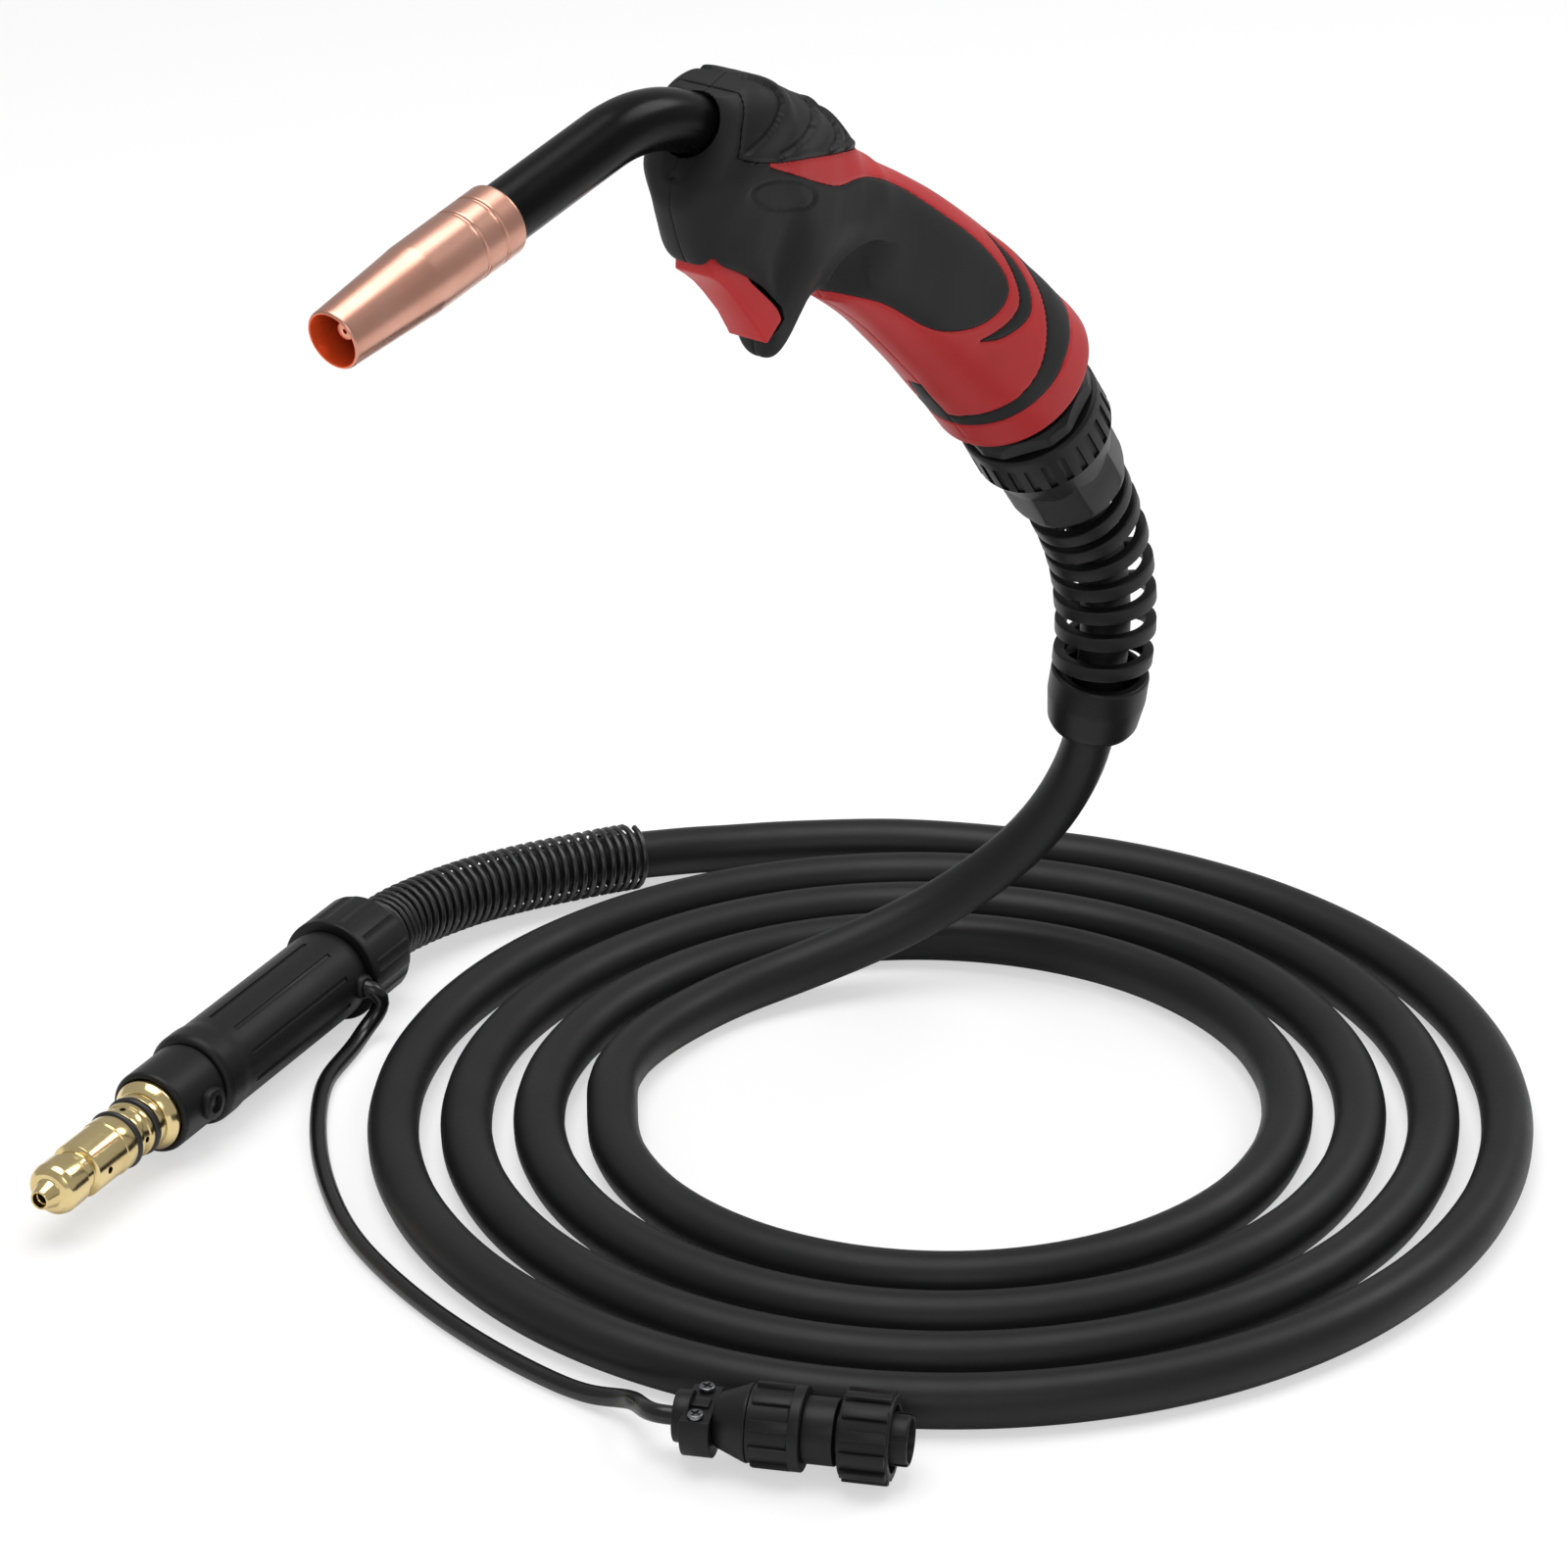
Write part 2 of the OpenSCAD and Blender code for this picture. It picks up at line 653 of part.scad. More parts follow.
// The cable bend guard: one strip about the bent axis, nearly square to it down the left
// and front of each turn, and stepping on to the next turn round the back.
sleeve_parts = 60;
sleeve_steps = 12;
sleeve_axis = [for (i = [0:sleeve_parts]) along(sleeve_route, i / sleeve_parts)];
sleeve_t_dirs = tangents(sleeve_axis);
sleeve_u_dirs = carried(sleeve_t_dirs, [0, 1, 0]);
sleeve_len = 76.6;

function smooth(t) = t * t * (3 - 2 * t);
function sleeve_station(i) =
  let (k = floor(i / sleeve_steps), t = smooth(i / sleeve_steps - k))
  (1 - t) * sleeve_marks[k] + t * sleeve_marks[k + 1];
function sleeve_read(rows, share) =
  let (k = min(floor(share * sleeve_parts), sleeve_parts - 1), t = share * sleeve_parts - k)
  (1 - t) * rows[k] + t * rows[k + 1];
function sleeve_corner(i, q) =
  let (
    share = (sleeve_station(i) - head_to) / sleeve_len,
    t_dir = sleeve_read(sleeve_t_dirs, share),
    u_dir = sleeve_read(sleeve_u_dirs, share),
    a = -45 - 180 * i / sleeve_steps,
    out = cos(a) * u_dir + sin(a) * cross(t_dir, u_dir)
  )
  sleeve_read(sleeve_axis, share) + (sleeve_r - sleeve_taper * share + q[0] * sleeve_t / 2) * out
    + q[1] * sleeve_band / 2 * t_dir;

module support_sleeve() {
  first = 6;
  last = sleeve_steps * 14 + 4;
  echo("sleeve starts and ends at", sleeve_station(first), sleeve_station(last));
  strip = [for (i = [first:last]) for (q = [[-1, -1], [-1, 1], [1, 1], [1, -1]]) sleeve_corner(i, q)];
  color("#1e1e1e") polyhedron(strip, stack_faces(last - first + 1, 4));
}

module support_collar() {
  axis = collar_end - collar_top;
  tall = norm(axis);
  heading = atan2(axis[1], axis[0]);
  slope = asin(axis[2] / tall);
  color("#1c1c1c") aim(collar_top, heading, slope) turned([
    [cable_d / 2 + 0.02, -1], [15.2, -1], [15.7, -0.4], [15.8, 8], [14.4, tall - 4], [12.8, tall - 1.4],
    [cable_d / 2 + 0.02, tall - 1.4]
  ]);
}

// ---- power cable ----

function coil_point(turn) =
  let (r = coil_r - coil_step * turn / 360, a = coil_start_angle - turn)
  [coil_centre[0] + r * cos(a), coil_centre[1] + r * sin(a), coil_z];
function coil_heading(turn) = let (a = coil_start_angle - turn) [sin(a), -cos(a), 0];

coil_first = coil_point(coil_from) - cable_d * coil_heading(coil_from);
coil_last = coil_point(coil_to) + cable_d * coil_heading(coil_to);

// Hexagon with flats on the floor; its height is the cable's diameter.
module cable_coil() {
  flat = cable_d / 2 / cos(30);
  path = concat(
    [coil_first, coil_point(coil_from)],
    [for (turn = [coil_from + 15:15:coil_to - 8]) coil_point(turn)],
    [coil_point(coil_to), coil_last]
  );
  echo("gap between the coil's loops", coil_step - cable_d);
  color("#262626") sweep(path, [for (k = [0:5]) flat * [cos(60 * k + 30), sin(60 * k + 30)]]);
}

module cable_riser() {
  tail = ball + 16 * [cos(180) * cos(support_slope), 0, sin(support_slope)];
  throat = ball + (head_to - 4) * [-cos(support_slope), 0, sin(support_slope)];
  path = concat([coil_last, coil_last + 3 * coil_heading(coil_to)], riser_route, [collar_end], [for (i = [5:-1:1]) sleeve_route[i]], [throat, tail]);
  color("#262626") sweep(path, round_section(cable_d / 2, 10));
}

module cable_lead() {
  rear = plug_tip + plug_len * [cos(plug_heading), sin(plug_heading), 0];
  inside = plug_tip + (plug_len - 20) * [cos(plug_heading), sin(plug_heading), 0];
  path = concat([coil_first, coil_first - 3 * coil_heading(coil_from)], lead_route, [rear, inside]);
  color("#262626") sweep(path, round_section(cable_d / 2, 10));
}

// ---- machine plug ----

guard_turns = guard_open + 2 * guard_closed;
guard_rings = 8 * guard_turns;
guard_route = concat(
  [plug_tip + (plug_len + 1.4) * [cos(plug_heading), sin(plug_heading), 0]],
  [for (i = [len(lead_route) - 1:-1:guard_end]) lead_route[i]]
);
guard_len = 111;
guard_pitch = (guard_len - 2 * guard_closed * guard_turn_closed) / guard_open;
function guard_run(turn) =
  turn < guard_closed ? turn * guard_turn_closed
  : turn < guard_closed + guard_open ? guard_closed * guard_turn_closed + (turn - guard_closed) * guard_pitch
  : guard_len - (guard_turns - turn) * guard_turn_closed;
guard_axis = [for (i = [0:guard_rings]) along(guard_route, guard_run(i / 8) / guard_len)];
guard_dirs = tangents(guard_axis);
guard_side = carried(guard_dirs, [0, 0, 1]);
guard_points = [for (i = [0:guard_rings])
  guard_axis[i] + guard_r * (cos(45 * i) * guard_side[i] + sin(45 * i) * cross(guard_side[i], guard_dirs[i]))];

module spring_guard() {
  echo("least gap in the spring guard", turn_gap(guard_points, 8, guard_wire));
  color("#1a1a1a") sweep(guard_points, round_section(guard_wire / 2, 6));
}

module at_plug() {
  aim(plug_tip, plug_heading, 0) children();
}

module plug_nut() {
  r = plug_nut_d / 2;
  color("#1e1e1e") at_plug() difference() {
    turned([
      [8.05, nut_front + 0.05], [r, nut_front + 0.05], [r, plug_len - 5], [r - 3.4, plug_len], [8.05, plug_len]
    ]);
    for (k = [0:11]) rotate([0, 0, 30 * k + 15]) translate([r + 3.9, 0, nut_front + 3]) cylinder(h = 30, r = 4.6);
  }
}

module plug_body() {
  r = plug_d / 2;
  color("#202020") at_plug() difference() {
    turned([
      [10, body_front], [r - 0.4, body_front], [r + 0.5, body_front + 1.5], [r + 0.5, body_front + 9], [r, body_front + 12],
      [r, nut_front - 4], [r - 0.6, nut_front], [8.05, nut_front], [8.05, 150], [10, 150]
    ]);
    for (k = [0:5]) rotate([0, 0, 60 * k + 12]) translate([r - 0.8, -0.9, 98]) cube([3, 1.8, 55]);
    translate([0, 0, gland_t]) rotate([90, 0, 0]) cylinder(h = 30, r = 4.2);
  }
}

module plug_sleeve() {
  color("#161616") at_plug() difference() {
    union() {
      turned([
        [11.62, sleeve_front], [12.9, sleeve_front], [13.5, sleeve_front + 0.8], [13.5, body_front - 0.05],
        [10, body_front - 0.05], [10, 70], [11.62, 70]
      ]);
      translate([0, 0, screw_t]) rotate([90, 0, 0]) translate([0, 0, 11.7]) cylinder(h = 3.7, r = 5.2);
    }
    translate([0, 0, screw_t]) rotate([90, 0, 0]) translate([0, 0, 8]) cylinder(h = 12, r = 2.9);
  }
}

module plug_screw() {
  color("#2c2c2e") at_plug() translate([0, 0, screw_t]) rotate([90, 0, 0]) difference() {
    translate([0, 0, 10.2]) cylinder(h = 3.6, r = 2.85);
    translate([0, 0, 12.6]) cylinder(h = 3, r = 1.4, $fn = 6);
  }
}

module control_gland() {
  color("#1a1a1a") at_plug() translate([0, 0, gland_t]) rotate([90, 0, 0]) difference() {
    turned([[0, 10.4], [4.15, 10.4], [4.15, 16], [3.6, 16.6], [0, 16.6]]);
    translate([0, 0, 12]) cylinder(h = 10, r = lead_d / 2 + 0.02);
  }
}

module pin_collar() {
  color("#c9a24a") at_plug() turned([
    [6, 55.2], [9.4, 55.2], [10.4, 56.4], [11.6, 58.2], [11.6, 69.95], [6, 69.95]
  ]);
}

module power_pin() {
  r = pin_d / 2;
  color("#d0aa55") at_plug() difference() {
    turned([
      [2.05, 15.8], [7.6, 15.8], [7.6, 20], [r, 20.7], [r, 34.6], [r + 0.3, 34.8], [r + 0.3, 40],
      [7.9, 40.05], [7.9, 42.4], [r + 0.2, 42.4], [r + 0.2, 44], [8.4, 44.2], [8.4, 47.2],
      [r + 0.2, 47.4], [r + 0.2, 49.4], [7.9, 49.4], [7.9, 52.2], [r + 0.4, 52.2], [r + 0.4, 55.15], [2.05, 55.15]
    ]);
    for (k = [0:3]) rotate([0, 0, 90 * k]) translate([0, 0, 45.7]) rotate([0, 90, 0]) cylinder(h = 12, r = 1);
    for (k = [0:1]) rotate([0, 0, 180 * k + 90]) translate([0, 0, 25]) rotate([0, 90, 0]) cylinder(h = 12, r = 1.1);
  }
}

module pin_seals() {
  color("#141414") at_plug() for (t = [41.2, 50.8]) translate([0, 0, t])
    rotate_extrude() translate([9, 0]) circle(1.08);
}

module pin_nose() {
  color("#d0aa55") at_plug() difference() {
    turned([
      [0, 0], [2.9, 0], [3.2, 0.4], [4.5, 5], [6.2, 5.3], [7.7, 6.4], [8.3, 8.2], [8.3, 14.9], [7.6, 15.75], [0, 15.75]
    ]);
    translate([0, 0, -1]) cylinder(h = 3.4, r = 2.4);
    translate([0, 0, -2]) cylinder(h = 20, r = 2.05);
  }
}

// ---- control lead and plug ----

module at_ctrl() {
  aim(ctrl_at, ctrl_heading, 0) children();
}

module control_lead() {
  mouth = plug_tip + gland_t * [cos(plug_heading), sin(plug_heading), 0]
    + 12 * [-cos(plug_heading + 90), -sin(plug_heading + 90), 0];
  entry = ctrl_at + 6 * [cos(ctrl_heading), sin(ctrl_heading), 0];
  before = ctrl_at - 6 * [cos(ctrl_heading), sin(ctrl_heading), 0];
  color("#161616") sweep(concat([mouth], control_route, [before, entry]), round_section(lead_d / 2, 8));
}

module clamp_saddle() {
  color("#1c1c1c") at_ctrl() difference() {
    union() {
      cylinder(h = 4.7, r = 7.5);
      intersection() {
        translate([0, 0, 3]) cylinder(h = 8.4, r = 10.8);
        translate([-4.6, -20, 3]) cube([30, 40, 8.4]);
      }
    }
    translate([0, 0, -1]) cylinder(h = 13, r = lead_d / 2 + 0.02);
    for (y = [-7.3, 7.3]) translate([-6, y, 7.2]) rotate([0, 90, 0]) cylinder(h = 11, r = 1.5);
  }
}

module clamp_screws() {
  color("#b9bbbe") at_ctrl() for (y = [-7.3, 7.3]) translate([-6.1, y, 7.2]) rotate([0, 90, 0]) difference() {
    union() {
      cylinder(h = 1.5, r = 2.3);
      cylinder(h = 9, r = 1.5);
    }
    translate([-1.7, -0.35, -1]) cube([3.4, 0.7, 1.7]);
    translate([-0.35, -1.7, -1]) cube([0.7, 3.4, 1.7]);
  }
}

module backshell() {
  color("#1c1c1c") at_ctrl() turned([
    [3, 11.45], [7.4, 11.45], [8, 12.6], [11.2, 21], [11.2, 21.45], [3, 21.45]
  ]);
}

module ribs(count, r, from, to, wide, tall) {
  for (k = [0:count - 1]) rotate([0, 0, 360 * k / count])
    translate([r - 0.6, -wide / 2, from]) cube([tall + 0.6, wide, to - from]);
}

module backshell_ring() {
  color("#1e1e1e") at_ctrl() difference() {
    union() {
      cylinder(h = 33.5, r = 11);
      translate([0, 0, 33.5]) cylinder(h = 3.4, r = 12.1);
      ribs(9, 11, 22.5, 34, 3.4, 1.1);
    }
    translate([0, 0, -1]) cylinder(h = 22.5, r = 13);
    translate([0, 0, 21]) cylinder(h = 20, r = 3);
  }
}

module plug_barrel() {
  color("#1c1c1c") at_ctrl() difference() {
    turned([[6, 36.95], [9.5, 36.95], [9.5, 46], [7.5, 46.4], [socket_d / 2, 66.5], [6.3, 66.5], [6.3, 50], [6, 50]]);
    for (k = [0:4]) rotate([0, 0, 72 * k + 20]) translate([6.9, -0.7, 62.5]) cube([3, 1.4, 6]);
  }
}

module coupling_ring() {
  r = coupling_d / 2;
  color("#1e1e1e") at_ctrl() difference() {
    union() {
      tube(r - 1.4, 9.55, 47.5, 62);
      intersection() {
        ribs(12, r - 1.4, 48.1, 61.4, 3.6, 1.4);
        translate([0, 0, 47]) cylinder(h = 17, r = r);
      }
      tube(10.5, socket_d / 2 + 0.1, 48.4, 50.6);
    }
  }
}

module plug_insert() {
  color("#101010") at_ctrl() difference() {
    translate([0, 0, 50.05]) cylinder(h = 8, r = 6.3);
    for (k = [0:3]) rotate([0, 0, 90 * k + 45]) translate([3.2, 0, 52]) cylinder(h = 8, r = 1.05);
  }
}

module contact_pins() {
  color("#d0aa55") at_ctrl() for (k = [0:3]) rotate([0, 0, 90 * k + 45]) translate([3.2, 0, 52.2])
    cylinder(h = 9.4, r = 1);
}

nozzle();
nozzle_insulator();
gas_diffuser();
contact_tip();
neck_tube();
neck_jacket();
wire_liner();
neck_nut();
conductor_stud();
inner_cable();
handle_shell_left();
handle_shell_right();
soft_grip_left();
soft_grip_right();
side_flashes();
thumb_rest();
rear_band();
end_rim();
shell_screws();
trigger();
trigger_pin();
microswitch();
switch_plunger();
knuckle_ring();
knuckle_pins();
swivel_hub();
lock_ring();
support_nut();
support_head();
support_sleeve();
support_collar();
cable_riser();
cable_coil();
cable_lead();
spring_guard();
plug_nut();
plug_body();
plug_sleeve();
plug_screw();
control_gland();
pin_collar();
power_pin();
pin_seals();
pin_nose();
control_lead();
clamp_saddle();
clamp_screws();
backshell();
backshell_ring();
plug_barrel();
coupling_ring();
plug_insert();
contact_pins();
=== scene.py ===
"""Looks of the MIG welding torch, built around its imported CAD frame. Metres, +Z up.

+X points forward out of the nozzle, +Y to the torch's left, and the coil lies on z = -0.280.
"""

import json
import math

import bmesh
import bpy
import numpy as np
from mathutils import Matrix, Vector


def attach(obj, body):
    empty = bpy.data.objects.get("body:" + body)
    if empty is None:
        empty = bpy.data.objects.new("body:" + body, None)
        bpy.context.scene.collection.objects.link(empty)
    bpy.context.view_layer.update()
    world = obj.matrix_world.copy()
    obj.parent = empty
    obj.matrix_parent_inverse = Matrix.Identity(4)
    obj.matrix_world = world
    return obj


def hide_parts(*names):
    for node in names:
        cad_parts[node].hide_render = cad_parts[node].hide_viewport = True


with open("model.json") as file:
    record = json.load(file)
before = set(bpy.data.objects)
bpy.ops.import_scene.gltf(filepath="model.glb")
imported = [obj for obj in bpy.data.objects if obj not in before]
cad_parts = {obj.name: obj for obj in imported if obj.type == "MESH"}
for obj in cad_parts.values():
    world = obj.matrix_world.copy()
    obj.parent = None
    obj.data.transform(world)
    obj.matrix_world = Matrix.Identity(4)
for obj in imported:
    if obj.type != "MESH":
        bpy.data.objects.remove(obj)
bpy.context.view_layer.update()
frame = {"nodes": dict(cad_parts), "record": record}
MM = 0.001
FLOOR_Z = -0.280


def radians(degrees):
    return degrees * math.pi / 180


# The swan neck leaves the handle at one slope and ends at the other.
NOSE_SLOPE = -12.9
HEAD_SLOPE = 32.0
NECK_R = 8.6
BEND_R = 53.0
BEND_START = np.array([94.093, 0, 69.207])


def slope_way(angle):
    return np.array([math.cos(radians(angle)), 0, math.sin(radians(angle))])


def square_way(angle):
    return np.array([-math.sin(radians(angle)), 0, math.cos(radians(angle))])


BEND_CENTRE = BEND_START - BEND_R * square_way(HEAD_SLOPE)
NOZZLE_AT = BEND_CENTRE + BEND_R * square_way(NOSE_SLOPE) + 44 * slope_way(NOSE_SLOPE)


# ---- camera -------------------------------------------------------------------------

# The sensor's width in millimetres, and the focal length in widths of the frame.
SENSOR = 36
FOCAL_IN_WIDTHS = 5342 / 1600
CAMERA_AT = (1.1416, 0.8611, 0.5134)


def set_camera():
    """A long lens from the torch's left front, above; its roll is half a degree."""
    right = Vector((-0.6226, 0.7826, 0)).normalized()
    ahead = Vector((-0.7076, -0.5629, -0.4272)).normalized()
    up = right.cross(ahead)
    roll = radians(-0.47)
    x_axis = right * math.cos(roll) + up * math.sin(roll)
    y_axis = up * math.cos(roll) - right * math.sin(roll)
    data = bpy.data.cameras.new("camera")
    data.sensor_width = SENSOR
    data.lens = FOCAL_IN_WIDTHS * SENSOR
    data.clip_end = 50
    camera = bpy.data.objects.new("camera", data)
    bpy.context.scene.collection.objects.link(camera)
    turn = Matrix((x_axis, y_axis, -ahead)).transposed().to_4x4()
    camera.matrix_world = Matrix.Translation(CAMERA_AT) @ turn
    bpy.context.scene.camera = camera


# ---- shader expressions --------------------------------------------------------------

class Wire:
    """A node's output that takes part in Python expressions."""

    def __init__(self, look, socket):
        self.look = look
        self.socket = socket

    def math(self, operation, other=None, swap=False):
        values = [self] if other is None else ([other, self] if swap else [self, other])
        return self.look.node("ShaderNodeMath", {"operation": operation}, dict(enumerate(values)))

    def __add__(self, other):
        return self.math("ADD", other)

    def __sub__(self, other):
        return self.math("SUBTRACT", other)

    def __mul__(self, other):
        return self.math("MULTIPLY", other)

    def __rsub__(self, other):
        return self.math("SUBTRACT", other, swap=True)

    __radd__ = __add__
    __rmul__ = __mul__


class Look:
    """One material and the nodes that make it."""

    def __init__(self, name):
        self.material = bpy.data.materials.new(name)
        self.material.use_nodes = True
        self.tree = self.material.node_tree
        self.shader = self.tree.nodes["Principled BSDF"]

    def node(self, kind, settings=None, inputs=None, output=0):
        made = self.tree.nodes.new(kind)
        for key, value in (settings or {}).items():
            setattr(made, key, value)
        for key, value in (inputs or {}).items():
            self.plug(made.inputs[key], value)
        return Wire(self, made.outputs[output])

    def plug(self, socket, value):
        if isinstance(value, Wire):
            self.tree.links.new(value.socket, socket)
        else:
            socket.default_value = value

    def set(self, **values):
        for key, value in values.items():
            self.plug(self.shader.inputs[key.replace("_", " ")], value)
        return self

    def place(self):
        return self.node("ShaderNodeTexCoord", output="Object")

    def noise(self, scale, detail=3, at=None):
        return self.node(
            "ShaderNodeTexNoise", {}, {"Vector": at or self.place(), "Scale": scale, "Detail": detail}
        )

    def blend(self, mask, low, high):
        return self.node(
            "ShaderNodeMix", {"data_type": "RGBA"}, {"Factor": mask, 6: low, 7: high}, output=2
        )

    def ramp(self, value, low, high, out_low=0.0, out_high=1.0):
        return self.node(
            "ShaderNodeMapRange",
            {"clamp": True},
            {"Value": value, "From Min": low, "From Max": high, "To Min": out_low, "To Max": out_high},
        )

    def bump(self, height, depth):
        return self.node("ShaderNodeBump", {}, {"Height": height, "Distance": depth, "Strength": 1.0})


def rgb(r, g, b):
    """Linear colour of an sRGB one given out of 255."""
    def linear(c):
        c /= 255
        return c / 12.92 if c <= 0.04045 else ((c + 0.055) / 1.055) ** 2.4
    return (linear(r), linear(g), linear(b), 1)


def moulded(name, colour, shade, rough, grain, depth, gloss=0.5):
    """Moulded plastic or rubber: a fine grain, slow changes of colour and of gloss."""
    look = Look(name)
    place = look.place()
    slow = look.noise(28, 3, place)
    fine = look.noise(grain, 2, place)
    look.set(
        Base_Color=look.blend(look.ramp(slow, 0.35, 0.65), colour, shade),
        Roughness=look.ramp(slow + fine * 0.4, 0.5, 0.9, rough - 0.05, rough + 0.05),
        Specular_IOR_Level=gloss,
        Normal=look.bump(fine, depth),
    )
    return look.material


def turned_metal(name, colour, shade, rough, lines, depth):
    """Machined metal: fine turning lines and a faint tarnish."""
    look = Look(name)
    place = look.place()
    slow = look.noise(45, 4, place)
    fine = look.noise(lines, 4, place)
    look.set(
        Base_Color=look.blend(look.ramp(slow, 0.4, 0.7), colour, shade),
        Metallic=1.0,
        Roughness=look.ramp(slow + fine, 0.7, 1.3, rough - 0.04, rough + 0.07),
        Normal=look.bump(fine, depth),
    )
    return look.material


def nozzle_copper():
    """Pale machined copper outside; inside, the bore is painted orange as a painted reflection, brighter
    towards the mouth and darker deeper in as painted shade.
    """
    length, slope, mouth_r, rear_r = 0.0654, 0.0563, 0.0078, 0.0094
    look = Look("nozzle_copper")
    place = look.place()
    slow = look.noise(45, 4, place)
    fine = look.noise(900, 4, place)
    way = tuple(float(v) for v in slope_way(NOSE_SLOPE))
    start = tuple(float(v) * MM for v in NOZZLE_AT)
    from_start = look.node("ShaderNodeVectorMath", {"operation": "SUBTRACT"}, {0: place, 1: start})
    along = look.node("ShaderNodeVectorMath", {"operation": "DOT_PRODUCT"}, {0: from_start, 1: way}, 1)
    across = look.node("ShaderNodeVectorMath", {"operation": "CROSS_PRODUCT"}, {0: from_start, 1: way})
    radius = look.node("ShaderNodeVectorMath", {"operation": "LENGTH"}, {0: across}, 1)
    # Halfway through the wall: a cone towards the mouth, and a cylinder behind it.
    cone = (length - along) * slope + mouth_r
    wall = look.node("ShaderNodeMath", {"operation": "MINIMUM"}, {0: cone, 1: rear_r})
    inside = look.ramp(radius - wall, 0.0001, -0.0001)
    skin = look.blend(look.ramp(slow, 0.4, 0.7), rgb(204, 155, 137), rgb(190, 139, 121))
    # Painted reflection and painted shade in the bore: dark orange deep inside, bright orange near the
    # mouth.
    painted_bore_light = look.blend(look.ramp(along, 0.045, 0.065), rgb(150, 40, 16), rgb(236, 92, 42))
    look.set(
        Base_Color=look.blend(inside, skin, painted_bore_light),
        # The bore is made less metallic so that its painted light shows as a diffuse colour.
        Metallic=inside * -0.7 + 1.0,
        Roughness=look.ramp(slow, 0.3, 0.7, 0.25, 0.33),
        Normal=look.bump(fine, 2e-7),
    )
    return look.material


FINISHES = {
    "nozzle_copper": nozzle_copper(),
    "tip_copper": turned_metal("tip_copper", rgb(238, 184, 160), rgb(222, 160, 134), 0.3, 900, 8e-7),
    "brass": turned_metal("brass", rgb(218, 198, 146), rgb(200, 176, 120), 0.17, 900, 1e-6),
    "steel": turned_metal("steel", rgb(190, 190, 190), rgb(170, 170, 170), 0.3, 900, 3e-6),
    "zinc_screw": turned_metal("zinc_screw", rgb(120, 122, 124), rgb(84, 86, 88), 0.3, 900, 3e-6),
    "ceramic": moulded("ceramic", rgb(225, 215, 200), rgb(200, 190, 170), 0.35, 700, 5e-6),
    "neck_black": moulded("neck_black", rgb(6, 6, 7), rgb(4, 4, 5), 0.26, 260, 2e-6, 0.1),
    "shell_red": moulded("shell_red", rgb(171, 38, 40), rgb(162, 34, 36), 0.44, 1500, 1.2e-5, 0.2),
    "trigger_red": moulded("trigger_red", rgb(182, 42, 44), rgb(174, 38, 40), 0.42, 1500, 1e-5, 0.2),
    "soft_black": moulded("soft_black", rgb(24, 24, 25), rgb(20, 20, 21), 0.56, 1700, 1.6e-5, 0.2),
    "moulded_black": moulded("moulded_black", rgb(17, 17, 18), rgb(13, 13, 14), 0.44, 1500, 1.2e-5, 0.24),
    "cable_black": moulded("cable_black", rgb(21, 21, 22), rgb(17, 17, 18), 0.48, 700, 1e-5, 0.26),
    "lead_black": moulded("lead_black", rgb(14, 14, 14), rgb(11, 11, 11), 0.27, 500, 6e-6, 0.4),
    "spring_black": moulded("spring_black", rgb(28, 28, 29), rgb(21, 21, 22), 0.34, 900, 6e-6),
    "seal_black": moulded("seal_black", rgb(22, 22, 22), rgb(18, 18, 18), 0.42, 900, 5e-6),
    "hidden_black": moulded("hidden_black", rgb(26, 26, 26), rgb(22, 22, 22), 0.5, 900, 5e-6),
}


def dress_cad_nodes():
    """Every CAD node takes the finish of its slot in the record."""
    for row in frame["record"]["subparts"]:
        node = frame["nodes"][row["node"]]
        for place in node.material_slots:
            place.material = FINISHES[row["material_slot"]]


# ---- cords --------------------------------------------------------------------------

CABLE_R = 8.0
LEAD_R = 2.75
BALL = np.array([-45.0, 0.0, -38.5])
SUPPORT_SLOPE = -53.5
COIL_Z = -272.0
LEAD_Z = -280 + LEAD_R + 0.05
PLUG_TIP = np.array([219.0, -157.4, -262.5])
PLUG_HEADING = 191.3
PLUG_LEN = 191.8
CTRL_AT = np.array([190.0, 64.0, -266.6])
CTRL_HEADING = 116.2


def flat_heading(degrees):
    return np.array([math.cos(radians(degrees)), math.sin(radians(degrees)), 0.0])


SUPPORT_AXIS = np.array([-math.cos(radians(SUPPORT_SLOPE)), 0.0, math.sin(radians(SUPPORT_SLOPE))])
PLUG_AXIS = flat_heading(PLUG_HEADING)
CTRL_AXIS = flat_heading(CTRL_HEADING)

SLEEVE_ROUTE = [
    (-83.3, 0, -90.3), (-91.7, 0.2, -103.1), (-98.3, 0.4, -116.9), (-102.3, 0.4, -131.7),
    (-103.9, 0, -147.2), (-103.8, -1.5, -162.4),
]
COLLAR_END = (-105.6, -6, -183.8)
RISER_ROUTE = [
    (29, -87.5, COIL_Z), (11, -90.5, COIL_Z), (-7, -90.5, COIL_Z), (-24.5, -87.5, -271.2),
    (-41.5, -81, -269.4), (-57.5, -72.5, -266), (-71.5, -62.5, -260.6), (-83.5, -51, -252.4),
    (-93.5, -38.5, -241), (-101, -26.5, -227), (-105.5, -16.5, -210.6), (-106.8, -10, -195.5),
]
LEAD_ROUTE = [
    (-154, -101.5, COIL_Z), (-143.5, -118, COIL_Z), (-131, -133, COIL_Z), (-117, -148, COIL_Z),
    (-106.5, -157.5, -271.8), (-97.5, -164.4, -271.1), (-88, -170, -270.1), (-78, -174.9, -268.9),
    (-66.5, -179.7, -268), (-55, -184.4, -267.4), (-43.4, -188.7, -266.6), (-31.6, -192.4, -265.9),
    (-19.6, -195.3, -265.1), (-7.3, -197.1, -264.4), (5, -198, -263.7), (17.4, -197.6, -263),
]
